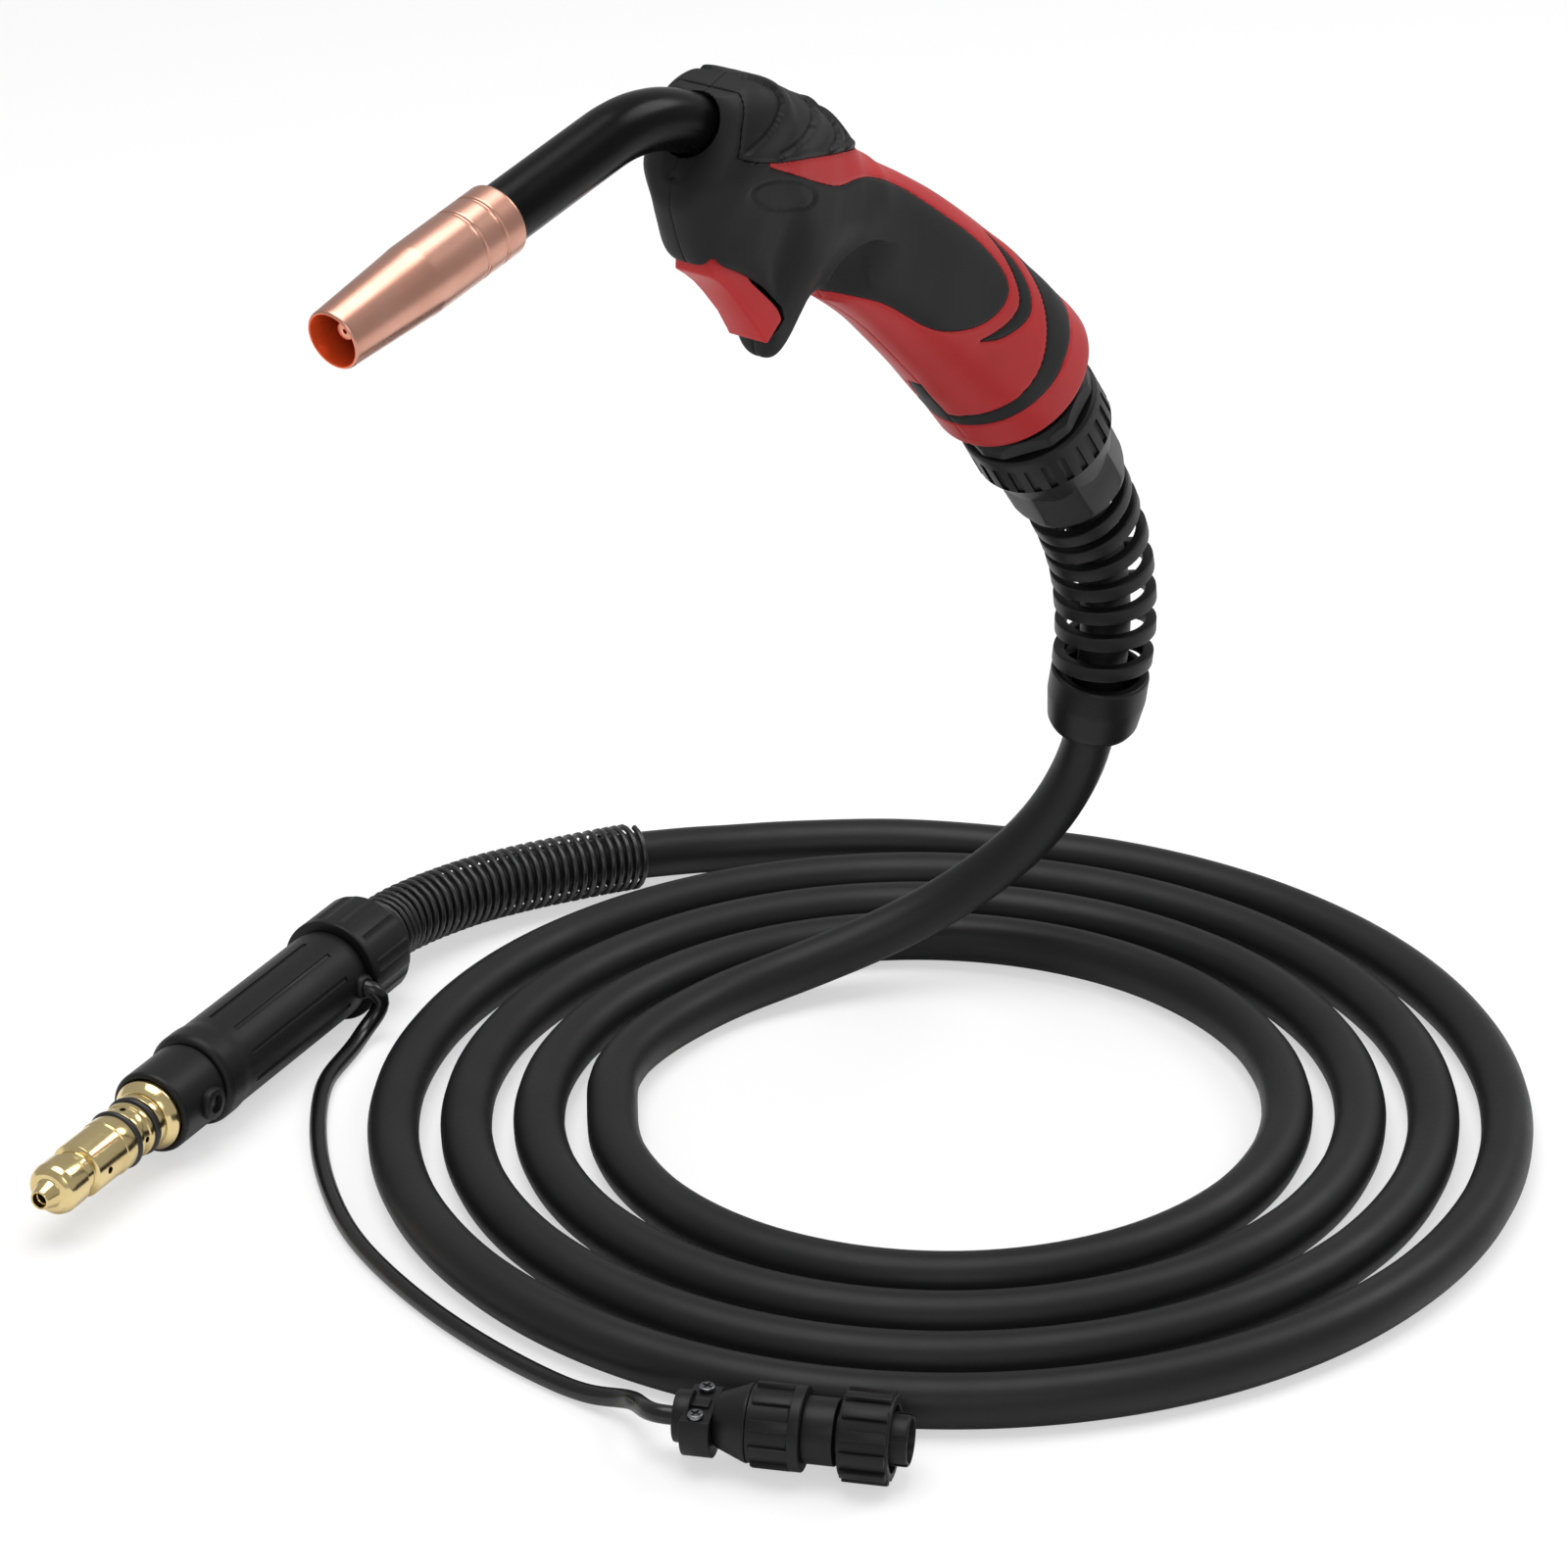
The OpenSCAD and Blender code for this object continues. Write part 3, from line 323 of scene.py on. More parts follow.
CONTROL_ROUTE = [
    (57.6, -172.2, -262.6), (56.2, -169.8, -264.2), (55.4, -169.2, -267.4), (57, -169.6, -271),
    (61.4, -170.2, -274.6), (68, -168.6, -276.6), (78, -165.2, LEAD_Z), (90.5, -160.3, LEAD_Z),
    (101.5, -153.2, LEAD_Z), (111.5, -145, LEAD_Z), (129, -128, LEAD_Z), (145, -108.5, LEAD_Z),
    (158.5, -87.5, LEAD_Z), (169, -63.5, LEAD_Z), (177, -37.5, LEAD_Z), (182.4, -9.5, LEAD_Z),
    (184.4, 12, LEAD_Z), (184.6, 30, -275.8), (185.6, 44, -271.6),
]


# The coil: its middle, the outer ring's radius, the step from ring to ring, the heading that its
# turns are counted from, and its first and last turn in degrees.
COIL_MIDDLE = (-3.8, 7.4)
COIL_R = 183.5
COIL_STEP = 22.5
COIL_START = 218.5
COIL_FIRST = 14
COIL_LAST = 1350


def coil_point(turn):
    """A point of the coil, which winds inwards as the turn grows."""
    r = COIL_R - COIL_STEP * turn / 360
    a = radians(COIL_START - turn)
    x, y = COIL_MIDDLE
    return np.array([x + r * math.cos(a), y + r * math.sin(a), COIL_Z])


def coil_heading(turn):
    a = radians(COIL_START - turn)
    return np.array([math.sin(a), -math.cos(a), 0.0])


def smooth_line(points, step):
    """A natural cubic spline through the points, read off every step along it."""
    p = np.array(points, float)
    run = np.concatenate([[0], np.cumsum(np.linalg.norm(np.diff(p, axis=0), axis=1))])
    h = np.diff(run)
    n = len(p)
    system = np.eye(n)
    right = np.zeros((n, 3))
    for i in range(1, n - 1):
        system[i, i - 1], system[i, i], system[i, i + 1] = h[i - 1], 2 * (h[i - 1] + h[i]), h[i]
        right[i] = 6 * ((p[i + 1] - p[i]) / h[i] - (p[i] - p[i - 1]) / h[i - 1])
    curve = np.linalg.solve(system, right)
    count = int(round(run[-1] / step))
    out = []
    for s in np.linspace(0, run[-1], count + 1):
        i = min(np.searchsorted(run, s, side="right") - 1, n - 2)
        a, b = run[i + 1] - s, s - run[i]
        out.append(
            curve[i] * a ** 3 / (6 * h[i]) + curve[i + 1] * b ** 3 / (6 * h[i])
            + (p[i] / h[i] - curve[i] * h[i] / 6) * a + (p[i + 1] / h[i] - curve[i + 1] * h[i] / 6) * b
        )
    return np.array(out)


# The pieces that stand for each CAD node.
PIECES_FOR = {}


def stand_in(piece, body, nodes):
    """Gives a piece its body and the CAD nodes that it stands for."""
    for node in nodes:
        PIECES_FOR.setdefault(node, []).append(piece.name)
    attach(piece, body)
    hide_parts(*nodes)
    return piece


def cord_piece(name, points, radius, finish, body, nodes, resolution=7):
    """A round cord on one open spline."""
    data = bpy.data.curves.new(name, "CURVE")
    data.dimensions = "3D"
    data.bevel_depth = radius * MM
    data.bevel_resolution = resolution
    data.use_fill_caps = True
    spline = data.splines.new("POLY")
    spline.points.add(len(points) - 1)
    for point, place in zip(spline.points, points):
        point.co = (*(place * MM), 1)
    spline.use_smooth = True
    data.materials.append(FINISHES[finish])
    piece = bpy.data.objects.new(name, data)
    bpy.context.scene.collection.objects.link(piece)
    return stand_in(piece, body, nodes)


# Where the cable leaves the support's head, and the control lead's outlet along the machine plug.
CABLE_FROM = 60.4
GLAND_AT = 161.2


def power_cable_points():
    tail = BALL + CABLE_FROM * SUPPORT_AXIS
    coil_last = coil_point(COIL_LAST) + 16 * coil_heading(COIL_LAST)
    coil_first = coil_point(COIL_FIRST) - 16 * coil_heading(COIL_FIRST)
    points = [tail, *SLEEVE_ROUTE[1:], COLLAR_END, *reversed(RISER_ROUTE), coil_last]
    points += [coil_point(turn) for turn in range(COIL_LAST, COIL_FIRST, -12)]
    points += [coil_point(COIL_FIRST), coil_first, *LEAD_ROUTE]
    points += [PLUG_TIP + PLUG_LEN * PLUG_AXIS, PLUG_TIP + (PLUG_LEN - 20) * PLUG_AXIS]
    return smooth_line(points, 4.5)


def control_lead_points():
    side = -flat_heading(PLUG_HEADING + 90)
    mouth = PLUG_TIP + GLAND_AT * PLUG_AXIS + 12 * side
    points = [mouth, *CONTROL_ROUTE, CTRL_AT - 6 * CTRL_AXIS, CTRL_AT + 6 * CTRL_AXIS]
    return smooth_line(points, 2.0)


def free_cord(name, route, radius, finish, nodes):
    """A cord from its exit to its far end."""
    cord = cord_piece(name, route, radius, finish, "lead", nodes)


def make_cords():
    free_cord(
        "power_cable", power_cable_points(), CABLE_R, "cable_black",
        ["cable_riser", "cable_coil", "cable_lead"],
    )
    free_cord(
        "control_cable", control_lead_points(), LEAD_R, "lead_black",
        ["control_lead"],
    )


# ---- handle -------------------------------------------------------------------------

# From the rear rim to the nose: top x and z, bottom x and z, half width, squareness, and
# how narrow the foot is.
HANDLE_FORM = [
    (-69.1, -25.8, -31.1, -62.0, 26.2, 2.0, 1.0),
    (-66.2, -22.9, -28.4, -58.9, 26.2, 2.0, 1.0),
    (-60.5, -18.0, -23.0, -52.8, 25.8, 2.0, 1.0),
    (-53.5, -11.8, -17.2, -46.6, 24.8, 2.1, 1.0),
    (-46.2, -5.4, -11.5, -41.0, 23.6, 2.1, 1.0),
    (-38.4, 1.4, -5.0, -34.0, 22.4, 2.2, 1.0),
    (-30.2, 7.6, 2.0, -27.2, 21.4, 2.2, 1.0),
    (-17.0, 17.5, 11.0, -18.5, 20.2, 2.3, 1.0),
    (-3.7, 26.9, 20.0, -10.3, 19.4, 2.3, 1.0),
    (9.8, 35.2, 29.0, -3.2, 18.8, 2.3, 1.0),
    (21.8, 42.0, 38.5, 3.4, 18.4, 2.3, 0.97),
    (27.0, 45.7, 45.5, 8.2, 18.3, 2.35, 0.9),
    (31.6, 48.6, 51.0, 10.0, 18.3, 2.3, 0.8),
    (35.4, 52.0, 55.8, 8.8, 18.2, 2.35, 0.68),
    (39.0, 56.6, 59.2, 5.0, 18.2, 2.45, 0.6),
    (43.4, 61.0, 61.8, 0.6, 18.3, 2.55, 0.56),
    (48.8, 65.0, 64.6, -3.4, 18.5, 2.7, 0.53),
    (54.0, 68.4, 67.6, -4.6, 18.9, 2.9, 0.51),
    (60.0, 72.0, 70.6, -2.6, 19.2, 3.0, 0.5),
    (65.2, 75.0, 72.0, 2.2, 19.4, 3.1, 0.5),
    (70.4, 77.8, 73.0, 8.6, 19.6, 3.2, 0.52),
    (75.0, 80.4, 75.2, 14.6, 19.7, 3.3, 0.6),
    (79.4, 81.6, 80.5, 20.8, 19.4, 3.3, 0.75),
    (83.6, 82.2, 88.5, 26.6, 19.0, 3.4, 0.8),
    (88.2, 81.2, 96.0, 30.0, 18.4, 3.4, 0.72),
    (92.2, 79.2, 100.2, 32.8, 17.4, 3.2, 0.66),
    (95.6, 75.0, 103.2, 38.6, 15.4, 2.9, 0.66),
    (98.4, 70.4, 105.4, 45.0, 13.0, 2.6, 0.74),
    (101.4, 65.2, 106.8, 50.6, 9.0, 2.3, 0.9),
    (104.6, 60.2, 106.2, 56.8, 3.0, 2.0, 1.0),
]
# Regions of the handle in side view, as x and z.
COVER_EDGE = [
    (86.6, 59.8), (76.9, 55.2), (65.0, 49.6), (56.8, 46.3), (51.5, 45.3), (45.9, 45.0), (38.0, 43.3),
    (29.2, 39.9), (19.8, 34.8), (11.0, 28.6), (0.3, 20.7), (-9.2, 13.3), (-16.4, 6.1), (-20.7, 0.1),
    (-21.9, -4.4), (-20.4, -7.8), (-15.9, -10.8), (-10.2, -12.6), (-4.7, -13.2), (1.6, -12.7),
    (6.7, -11.4), (12.2, -8.6), (19.0, -3.9), (26.4, 1.1), (33.1, 4.6), (38.5, 6.5), (43.0, 7.2),
    (46.0, 5.0), (48.0, -20.0), (150.0, -20.0), (150.0, 100.0), (86.6, 100.0),
]
REST_EDGE = [
    (84.0, 100.0), (85.6, 90.0), (87.2, 82.6), (90.2, 78.4), (94.2, 71.8), (96.8, 64.4), (92.3, 62.5),
    (84.2, 60.4), (71.7, 58.3), (59.8, 55.8), (50.0, 53.8), (41.6, 52.0), (34.0, 50.6), (28.0, 50.0),
    (28.0, 100.0),
]
FLASH_EDGE = [
    (-8.6, -18.2), (-13.4, -17.0), (-20.3, -14.9), (-24.8, -11.9), (-26.3, -8.3), (-26.2, -3.1),
    (-25.2, 2.2), (-23.6, 6.6), (-21.6, 10.4), (-23.6, 9.0), (-26.4, 5.6), (-29.6, 1.7), (-31.6, -2.8),
    (-32.8, -8.2), (-32.3, -12.4), (-29.6, -15.9), (-24.1, -18.1), (-16.5, -19.4), (-11.0, -18.9),
]
BAND_EDGE = [
    (-17.0, -51.5), (-19.5, -49.0), (-19.8, -47.7), (-22.0, -45.7), (-25.2, -42.6),
    (-28.8, -38.0), (-32.0, -33.2), (-34.8, -27.6), (-37.2, -21.0), (-39.0, -14.4), (-39.4, -9.4),
    (-38.6, -4.0), (-37.0, 6.0), (-45.0, 8.0), (-70.0, -8.0), (-61.5, -17.4), (-55.5, -22.2),
    (-50.1, -26.6), (-45.0, -31.2), (-40.3, -36.2), (-35.7, -41.0), (-31.0, -45.6), (-26.8, -49.6),
    (-23.2, -53.0), (-21.0, -58.0),
]
# On the right the band reaches further forward along the foot.
BAND_EDGE_RIGHT = [
    (-6.0, -36.5), (-10.3, -38.6), (-15.0, -42.6), (-19.6, -46.2),
    *BAND_EDGE[3:-2], (-23.0, -53.4), (-20.0, -60.0), (0.0, -50.0),
]
# The trigger's slot.
SLOT_EDGE = [
    (99.6, 35), (99.8, 26.5), (84, 8), (73.8, 0.6), (70.2, 5.4), (67.9, 8.6), (69.6, 12.8), (74.2, 17.5),
    (81.2, 23.8), (86.3, 32.2), (95, 35.2),
]
# The crease of the scoop behind the finger hook.
SCOOP_LINE = [
    (57.5, 3.0), (53.6, 8.4), (50.2, 13.4), (48.4, 18.4), (46.2, 22.0), (42.5, 24.2), (37.3, 24.6),
    (28.0, 21.8),
]
# Edges of the thumb rest's steps, on the left half.
REST_STEPS = [
    [
        (81.4, 7.1, 81.7), (79.0, 10.2, 80.4), (76.6, 13.2, 78.0), (77.4, 16.1, 74.7),
        (81.0, 17.7, 71.8), (86.2, 18.3, 68.7), (92.0, 17.8, 66.1), (96.4, 16.3, 63.9),
    ],
    [
        (58.4, 10.4, 68.7), (60.1, 13.6, 66.4), (67.2, 17.3, 64.2), (74.8, 19.2, 62.8),
        (81.1, 19.2, 61.7),
    ],
    [
        (58.5, 9.6, 69.2), (52.0, 8.9, 65.3), (49.1, 10.7, 61.5), (49.0, 12.9, 58.6),
        (51.5, 14.9, 56.8), (57.0, 16.8, 56.3),
    ],
    [
        (47.4, 7.9, 62.4), (44.5, 9.4, 59.0), (43.3, 11.0, 56.3), (44.2, 12.7, 54.8),
        (47.4, 14.4, 54.3),
    ],
]
# The oval on the side of the head: its x and z, its tilt, and its half length and half height.
BADGE = (80.2, 50.0, 17.4, 13.2, 4.3)
# Flat facets of the cap, each by a point and a normal, and the x that they start at.
CAP_PLANES = [((81.8, 0, 82.2), (3.6, 0, 11.4)), ((93.2, 0, 78.6), (20.6, 0, 12.2))]
CAP_FROM = 81
# The cover's corners up to this one are drawn smooth; the rest run clear of the handle.
COVER_SMOOTH = 27
HANDLE_ROWS = 300
HANDLE_COLS = 136
# The way in for the neck: its radius, how far behind the bend it starts, and the mark behind it.
NECK_HOLE_R = 9.5
NECK_HOLE_BEHIND = 8
CLOSED = -5
SLOT_HALF_WIDTH = 8.9
PANEL_GAP = 0.07
WALL = 1.3


def smoothstep(low, high, x):
    t = np.clip((x - low) / (high - low), 0, 1)
    return t * t * (3 - 2 * t)


def spline_rows(rows, at):
    """Rows of numbers read at fractional places on a Catmull-Rom spline."""
    rows = np.array(rows, float)
    last = len(rows) - 1
    i = np.clip(np.floor(at).astype(int), 0, last - 1)
    t = (at - i)[:, None]
    a, b, c, d = (rows[np.clip(i + k, 0, last)] for k in (-1, 0, 1, 2))
    a = np.where((i == 0)[:, None], 2 * b - c, a)
    d = np.where((i == last - 1)[:, None], 2 * c - b, d)
    return 0.5 * (2 * b + (c - a) * t + (2 * a - 5 * b + 4 * c - d) * t**2 + (3 * b - a - 3 * c + d) * t**3)


def handle_grid(rows, cols):
    """Points of the left half: rows from the rear to the front, columns from top to foot."""
    last = len(HANDLE_FORM) - 1
    fine = spline_rows(HANDLE_FORM, np.linspace(0, last, 2000))
    tops = np.linalg.norm(np.diff(fine[:, 0:2], axis=0), axis=1)
    feet = np.linalg.norm(np.diff(fine[:, 2:4], axis=0), axis=1)
    run = np.concatenate([[0], np.cumsum(np.maximum(tops, feet))])
    at = np.interp(np.linspace(0, run[-1], rows), run, np.linspace(0, last, 2000))
    angle = np.linspace(0, math.pi, 600)
    grid = np.zeros((rows, cols, 3))
    for row, (tx, tz, bx, bz, wide, power, narrow) in enumerate(spline_rows(HANDLE_FORM, at)):
        top, foot = np.array([tx, 0, tz]), np.array([bx, 0, bz])
        up = np.sign(np.cos(angle)) * np.abs(np.cos(angle)) ** (2 / power)
        waist = narrow + (1 - narrow) * smoothstep(0.16, 0.56, (up + 1) / 2)
        side = wide * np.abs(np.sin(angle)) ** (2 / power) * waist
        steps = np.hypot(np.diff(side), np.diff(up) * np.linalg.norm(top - foot) / 2)
        run = np.concatenate([[0], np.cumsum(steps)])
        even = np.linspace(0, run[-1], cols)
        up, side = np.interp(even, run, up), np.interp(even, run, side)
        side[0] = side[-1] = 0
        grid[row] = (top + foot) / 2 + up[:, None] * (top - foot) / 2
        grid[row, :, 1] = side
    return grid


def edge_distance(points, edge):
    """Distance of x, z points from a closed outline, negative inside it."""
    best = np.full(len(points), 1e9)
    inside = np.zeros(len(points), bool)
    for a, b in zip(edge, edge[1:] + edge[:1]):
        a, b = np.array(a, float), np.array(b, float)
        along = np.clip(((points - a) @ (b - a)) / ((b - a) @ (b - a)), 0, 1)
        best = np.minimum(best, np.linalg.norm(points - a - along[:, None] * (b - a), axis=1))
        crosses = (a[1] > points[:, 1]) != (b[1] > points[:, 1])
        if a[1] != b[1]:
            at = a[0] + (points[:, 1] - a[1]) * (b[0] - a[0]) / (b[1] - a[1])
            inside ^= crosses & (points[:, 0] < at)
    return np.where(inside, -best, best)


def smooth_edge(corners, closed=True):
    """Rounds an outline with a Catmull-Rom spline."""
    count = len(corners)
    if closed:
        rows, at = corners + corners[:3], np.arange(1, count + 1, 0.2)
    else:
        rows, at = corners, np.arange(0, count - 0.9, 0.2)
    return [tuple(p) for p in spline_rows(rows, at)]


def line_distance(points, line):
    """Distance from an open line, its sign by the side, and the share run along it."""
    line = np.array(line, float)
    best = np.full(len(points), 1e9)
    sign = np.ones(len(points))
    share = np.zeros(len(points))
    for k in range(len(line) - 1):
        a, b = line[k], line[k + 1]
        along = np.clip(((points - a) @ (b - a)) / ((b - a) @ (b - a)), 0, 1)
        gap = points - a - along[:, None] * (b - a)
        far = np.linalg.norm(gap, axis=1)
        near = far < best
        best = np.where(near, far, best)
        turn = (b[0] - a[0]) * gap[:, -1] - (b[-1] - a[-1]) * gap[:, 0]
        sign = np.where(near, np.where(turn >= 0, 1, -1), sign)
        share = np.where(near, (k + along) / (len(line) - 1), share)
    return best, sign, share


def carved(points, flat, fields):
    """How far the detail lifts each point off the plain form."""
    rest = fields["rest"]
    lift = np.zeros(len(points))
    # Seams between the mouldings, and the one down the middle.
    cover_only = np.where(rest < 0, 1e9, np.abs(fields["cover"]))
    others = [np.abs(fields[key]) for key in ("rest", "flash", "band")]
    seam = np.minimum.reduce([cover_only, *others])
    lift -= 0.4 * np.clip(1 - seam / 1.0, 0, 1) ** 2
    lift -= 0.25 * np.clip(1 - points[:, 1] / 0.8, 0, 1) ** 2
    # The scoop behind the hook: its rear side lies lower and rises again.
    far, side, share = line_distance(flat, smooth_edge(SCOOP_LINE, False))
    fade = 1 - smoothstep(0.72, 1.0, share)
    drop = smoothstep(-0.3, 0.6, far * side) * (1 - smoothstep(0.7, 17.0, far * side))
    crease = np.clip(1 - np.abs(far) / 1.1, 0, 1)
    lift -= fade * (2.7 * drop + 0.7 * crease) * (fields["cover"] < 2)
    # The thumb rest: stepped like scales, with a bead along its lower edge.
    on_rest = rest < 0
    for step in REST_STEPS:
        far, side, _ = line_distance(points, smooth_edge(step, False))
        signed = far * side
        rise = 0.75 * smoothstep(-7.0, -0.2, signed) * (signed < 0.3)
        fall = -0.5 * (signed >= 0.3) * (1 - smoothstep(0.3, 3.0, signed))
        lift += np.where(on_rest, rise + fall, 0)
    bead = np.exp(-((rest + 1.3) / 0.8) ** 2) * (points[:, 2] < 66)
    lift += 0.5 * bead * on_rest
    # The bare oval on the side of the head.
    x, z, tilt, long_r, short_r = BADGE
    c, s = math.cos(radians(tilt)), math.sin(radians(tilt))
    u = (flat[:, 0] - x) * c + (flat[:, 1] - z) * s
    w = -(flat[:, 0] - x) * s + (flat[:, 1] - z) * c
    oval = np.hypot(u / long_r, w / short_r)
    ring = (oval - 1) * short_r * 1.5
    lift -= 0.6 * np.clip(1 - np.abs(ring) / 0.8, 0, 1) + 0.15 * (oval < 1)
    return lift


def capped(grid):
    """Cuts the cap's flat facets, and draws the front to a close with one more row."""
    for place, normal in CAP_PLANES:
        normal = np.array(normal, float) / np.linalg.norm(normal)
        over = np.maximum((grid - np.array(place)) @ normal, 0) * (grid[..., 0] > CAP_FROM)
        grid = grid - over[..., None] * normal
    tip = grid[-1].mean(axis=0) * (1, 0, 1)
    return np.concatenate([grid, [tip + 0.02 * (grid[-1] - tip)]])


def handle_surface(band_edge):
    """One half's points and triangles with its sculpted detail, and the regions' fields."""
    grid = capped(handle_grid(HANDLE_ROWS, HANDLE_COLS))
    rows, cols = grid.shape[:2]
    across = np.gradient(grid, axis=1)
    along = np.gradient(grid, axis=0)
    normals = np.cross(across, along)
    normals /= np.maximum(np.linalg.norm(normals, axis=2, keepdims=True), 1e-9)
    middle = grid.mean(axis=1, keepdims=True)
    if (normals * (grid - middle)).sum() < 0:
        normals = -normals
    normals[:, 0, 1] = normals[:, -1, 1] = 0
    points, normals = grid.reshape(-1, 3), normals.reshape(-1, 3)
    flat = points[:, [0, 2]]
    cover_edge = smooth_edge(COVER_EDGE[:COVER_SMOOTH], False) + COVER_EDGE[COVER_SMOOTH:]
    fields = {
        "cover": edge_distance(flat, cover_edge),
        "rest": edge_distance(flat, REST_EDGE),
        "flash": edge_distance(flat, smooth_edge(FLASH_EDGE)),
        "band": edge_distance(flat, smooth_edge(band_edge)),
    }
    points = points + carved(points, flat, fields)[:, None] * normals
    # The way in for the neck, and the trigger's slot.
    axis = slope_way(HEAD_SLOPE)
    rel = points - BEND_START
    off_axis = np.linalg.norm(rel - (rel @ axis)[:, None] * axis, axis=1)
    neck_gap = np.where(rel @ axis > -NECK_HOLE_BEHIND, NECK_HOLE_R - off_axis, CLOSED)
    slot_gap = np.minimum(-edge_distance(flat, SLOT_EDGE), SLOT_HALF_WIDTH - points[:, 1])
    fields["hole"] = np.maximum(neck_gap, slot_gap)
    index = np.arange(rows * cols).reshape(rows, cols)
    a, b = index[:-1, :-1].ravel(), index[:-1, 1:].ravel()
    c, d = index[1:, 1:].ravel(), index[1:, :-1].ravel()
    triangles = np.concatenate([np.stack([a, b, c], 1), np.stack([a, c, d], 1)])
    p = points[triangles]
    facing = np.cross(p[:, 1] - p[:, 0], p[:, 2] - p[:, 0])
    if (facing * normals[triangles[:, 0]]).sum() < 0:
        triangles = triangles[:, ::-1]
    return points, normals, triangles, fields


def clip_surface(points, normals, triangles, field):
    """The part of a surface where the field is negative, cut exactly along its edge."""
    value = field[triangles]
    keep = [list(t) for t in triangles[(value < 0).all(axis=1)]]
    new_points, new_normals, made = list(points), list(normals), {}

    def cut(i, j):
        key = (min(i, j), max(i, j))
        if key not in made:
            t = field[i] / (field[i] - field[j])
            made[key] = len(new_points)
            new_points.append(points[i] + t * (points[j] - points[i]))
            new_normals.append(normals[i] + t * (normals[j] - normals[i]))
        return made[key]

    for tri in triangles[(value < 0).any(axis=1) & ~(value < 0).all(axis=1)]:
        ring = []
        for i, j in zip(tri, np.roll(tri, -1)):
            if field[i] < 0:
                ring.append(i)
            if (field[i] < 0) != (field[j] < 0):
                ring.append(cut(i, j))
        for k in range(1, len(ring) - 1):
            keep.append([ring[0], ring[k], ring[k + 1]])
    keep = np.array(keep)
    used, inverse = np.unique(keep, return_inverse=True)
    return np.array(new_points)[used], np.array(new_normals)[used], inverse.reshape(keep.shape)


def shell_piece(name, halves, finish, nodes):
    """A closed thin shell from patches of surface: outside, inside and rim."""
    mesh = bmesh.new()
    for points, normals, triangles in halves:
        normals = normals / np.maximum(np.linalg.norm(normals, axis=1, keepdims=True), 1e-9)
        outer = [mesh.verts.new(p * MM) for p in points]
        inner = [mesh.verts.new(p * MM) for p in points - WALL * normals]
        edges = {}
        for tri in triangles:
            if len(set(tri)) < 3:
                continue
            i, j, k = (int(v) for v in tri)
            mesh.faces.new((outer[i], outer[j], outer[k])).smooth = True
            mesh.faces.new((inner[k], inner[j], inner[i])).smooth = True
            for a, b in ((i, j), (j, k), (k, i)):
                edges[(a, b)] = True
        for a, b in edges:
            if (b, a) not in edges:
                mesh.faces.new((outer[b], outer[a], inner[a], inner[b]))
    data = bpy.data.meshes.new(name)
    mesh.to_mesh(data)
    mesh.free()
    data.materials.append(FINISHES[finish])
    piece = bpy.data.objects.new(name, data)
    bpy.context.scene.collection.objects.link(piece)
    return stand_in(piece, "handle", nodes)


def mirrored(patch):
    points, normals, triangles = patch
    return points * [1, -1, 1], normals * [1, -1, 1], triangles[:, ::-1]


def handle_patches(band_edge):
    """One half's surface, parted into its mouldings."""
    points, normals, triangles, fields = handle_surface(band_edge)
    hole = fields["hole"]
    around = [PANEL_GAP - fields[key] for key in ("cover", "rest", "flash", "band")]
    patches = {
        "cover": np.maximum.reduce([fields["cover"] + PANEL_GAP, PANEL_GAP - fields["rest"], hole]),
        "rest": np.maximum(fields["rest"] + PANEL_GAP, hole),
        "flash": fields["flash"] + PANEL_GAP,
        "band": fields["band"] + PANEL_GAP,
        "shell": np.maximum.reduce([*around, hole]),
    }
    return {key: clip_surface(points, normals, triangles, field) for key, field in patches.items()}


def make_handle():
    left = handle_patches(BAND_EDGE)
    right = {key: mirrored(patch) for key, patch in handle_patches(BAND_EDGE_RIGHT).items()}
    for name, sides, key, finish, node in (
        ("red_moulding_left", [left], "shell", "shell_red", "handle_shell_left"),
        ("red_moulding_right", [right], "shell", "shell_red", "handle_shell_right"),
        ("soft_cover_left", [left], "cover", "soft_black", "soft_grip_left"),
        ("soft_cover_right", [right], "cover", "soft_black", "soft_grip_right"),
        ("ribbed_thumb_rest", [left, right], "rest", "soft_black", "thumb_rest"),
        ("side_crescents", [left, right], "flash", "soft_black", "side_flashes"),
        ("rear_black_band", [left, right], "band", "soft_black", "rear_band"),
    ):
        shell_piece(name, [side[key] for side in sides], finish, [node])


# ---- modelling in millimetres --------------------------------------------------------

def aim(place, heading, slope):
    """Sets +Z of a piece drawn in millimetres along a heading and a slope, in metres."""
    turn = Matrix.Rotation(radians(heading), 4, "Z") @ Matrix.Rotation(radians(90 - slope), 4, "Y")
    return Matrix.Scale(MM, 4) @ Matrix.Translation(Vector(place)) @ turn


def select_only(piece):
    bpy.ops.object.select_all(action="DESELECT")
    piece.select_set(True)
    bpy.context.view_layer.objects.active = piece


def new_piece(points, edges, faces):
    data = bpy.data.meshes.new("piece")
    data.from_pydata([tuple(p) for p in points], edges, faces)
    piece = bpy.data.objects.new("piece", data)
    bpy.context.scene.collection.objects.link(piece)
    return piece


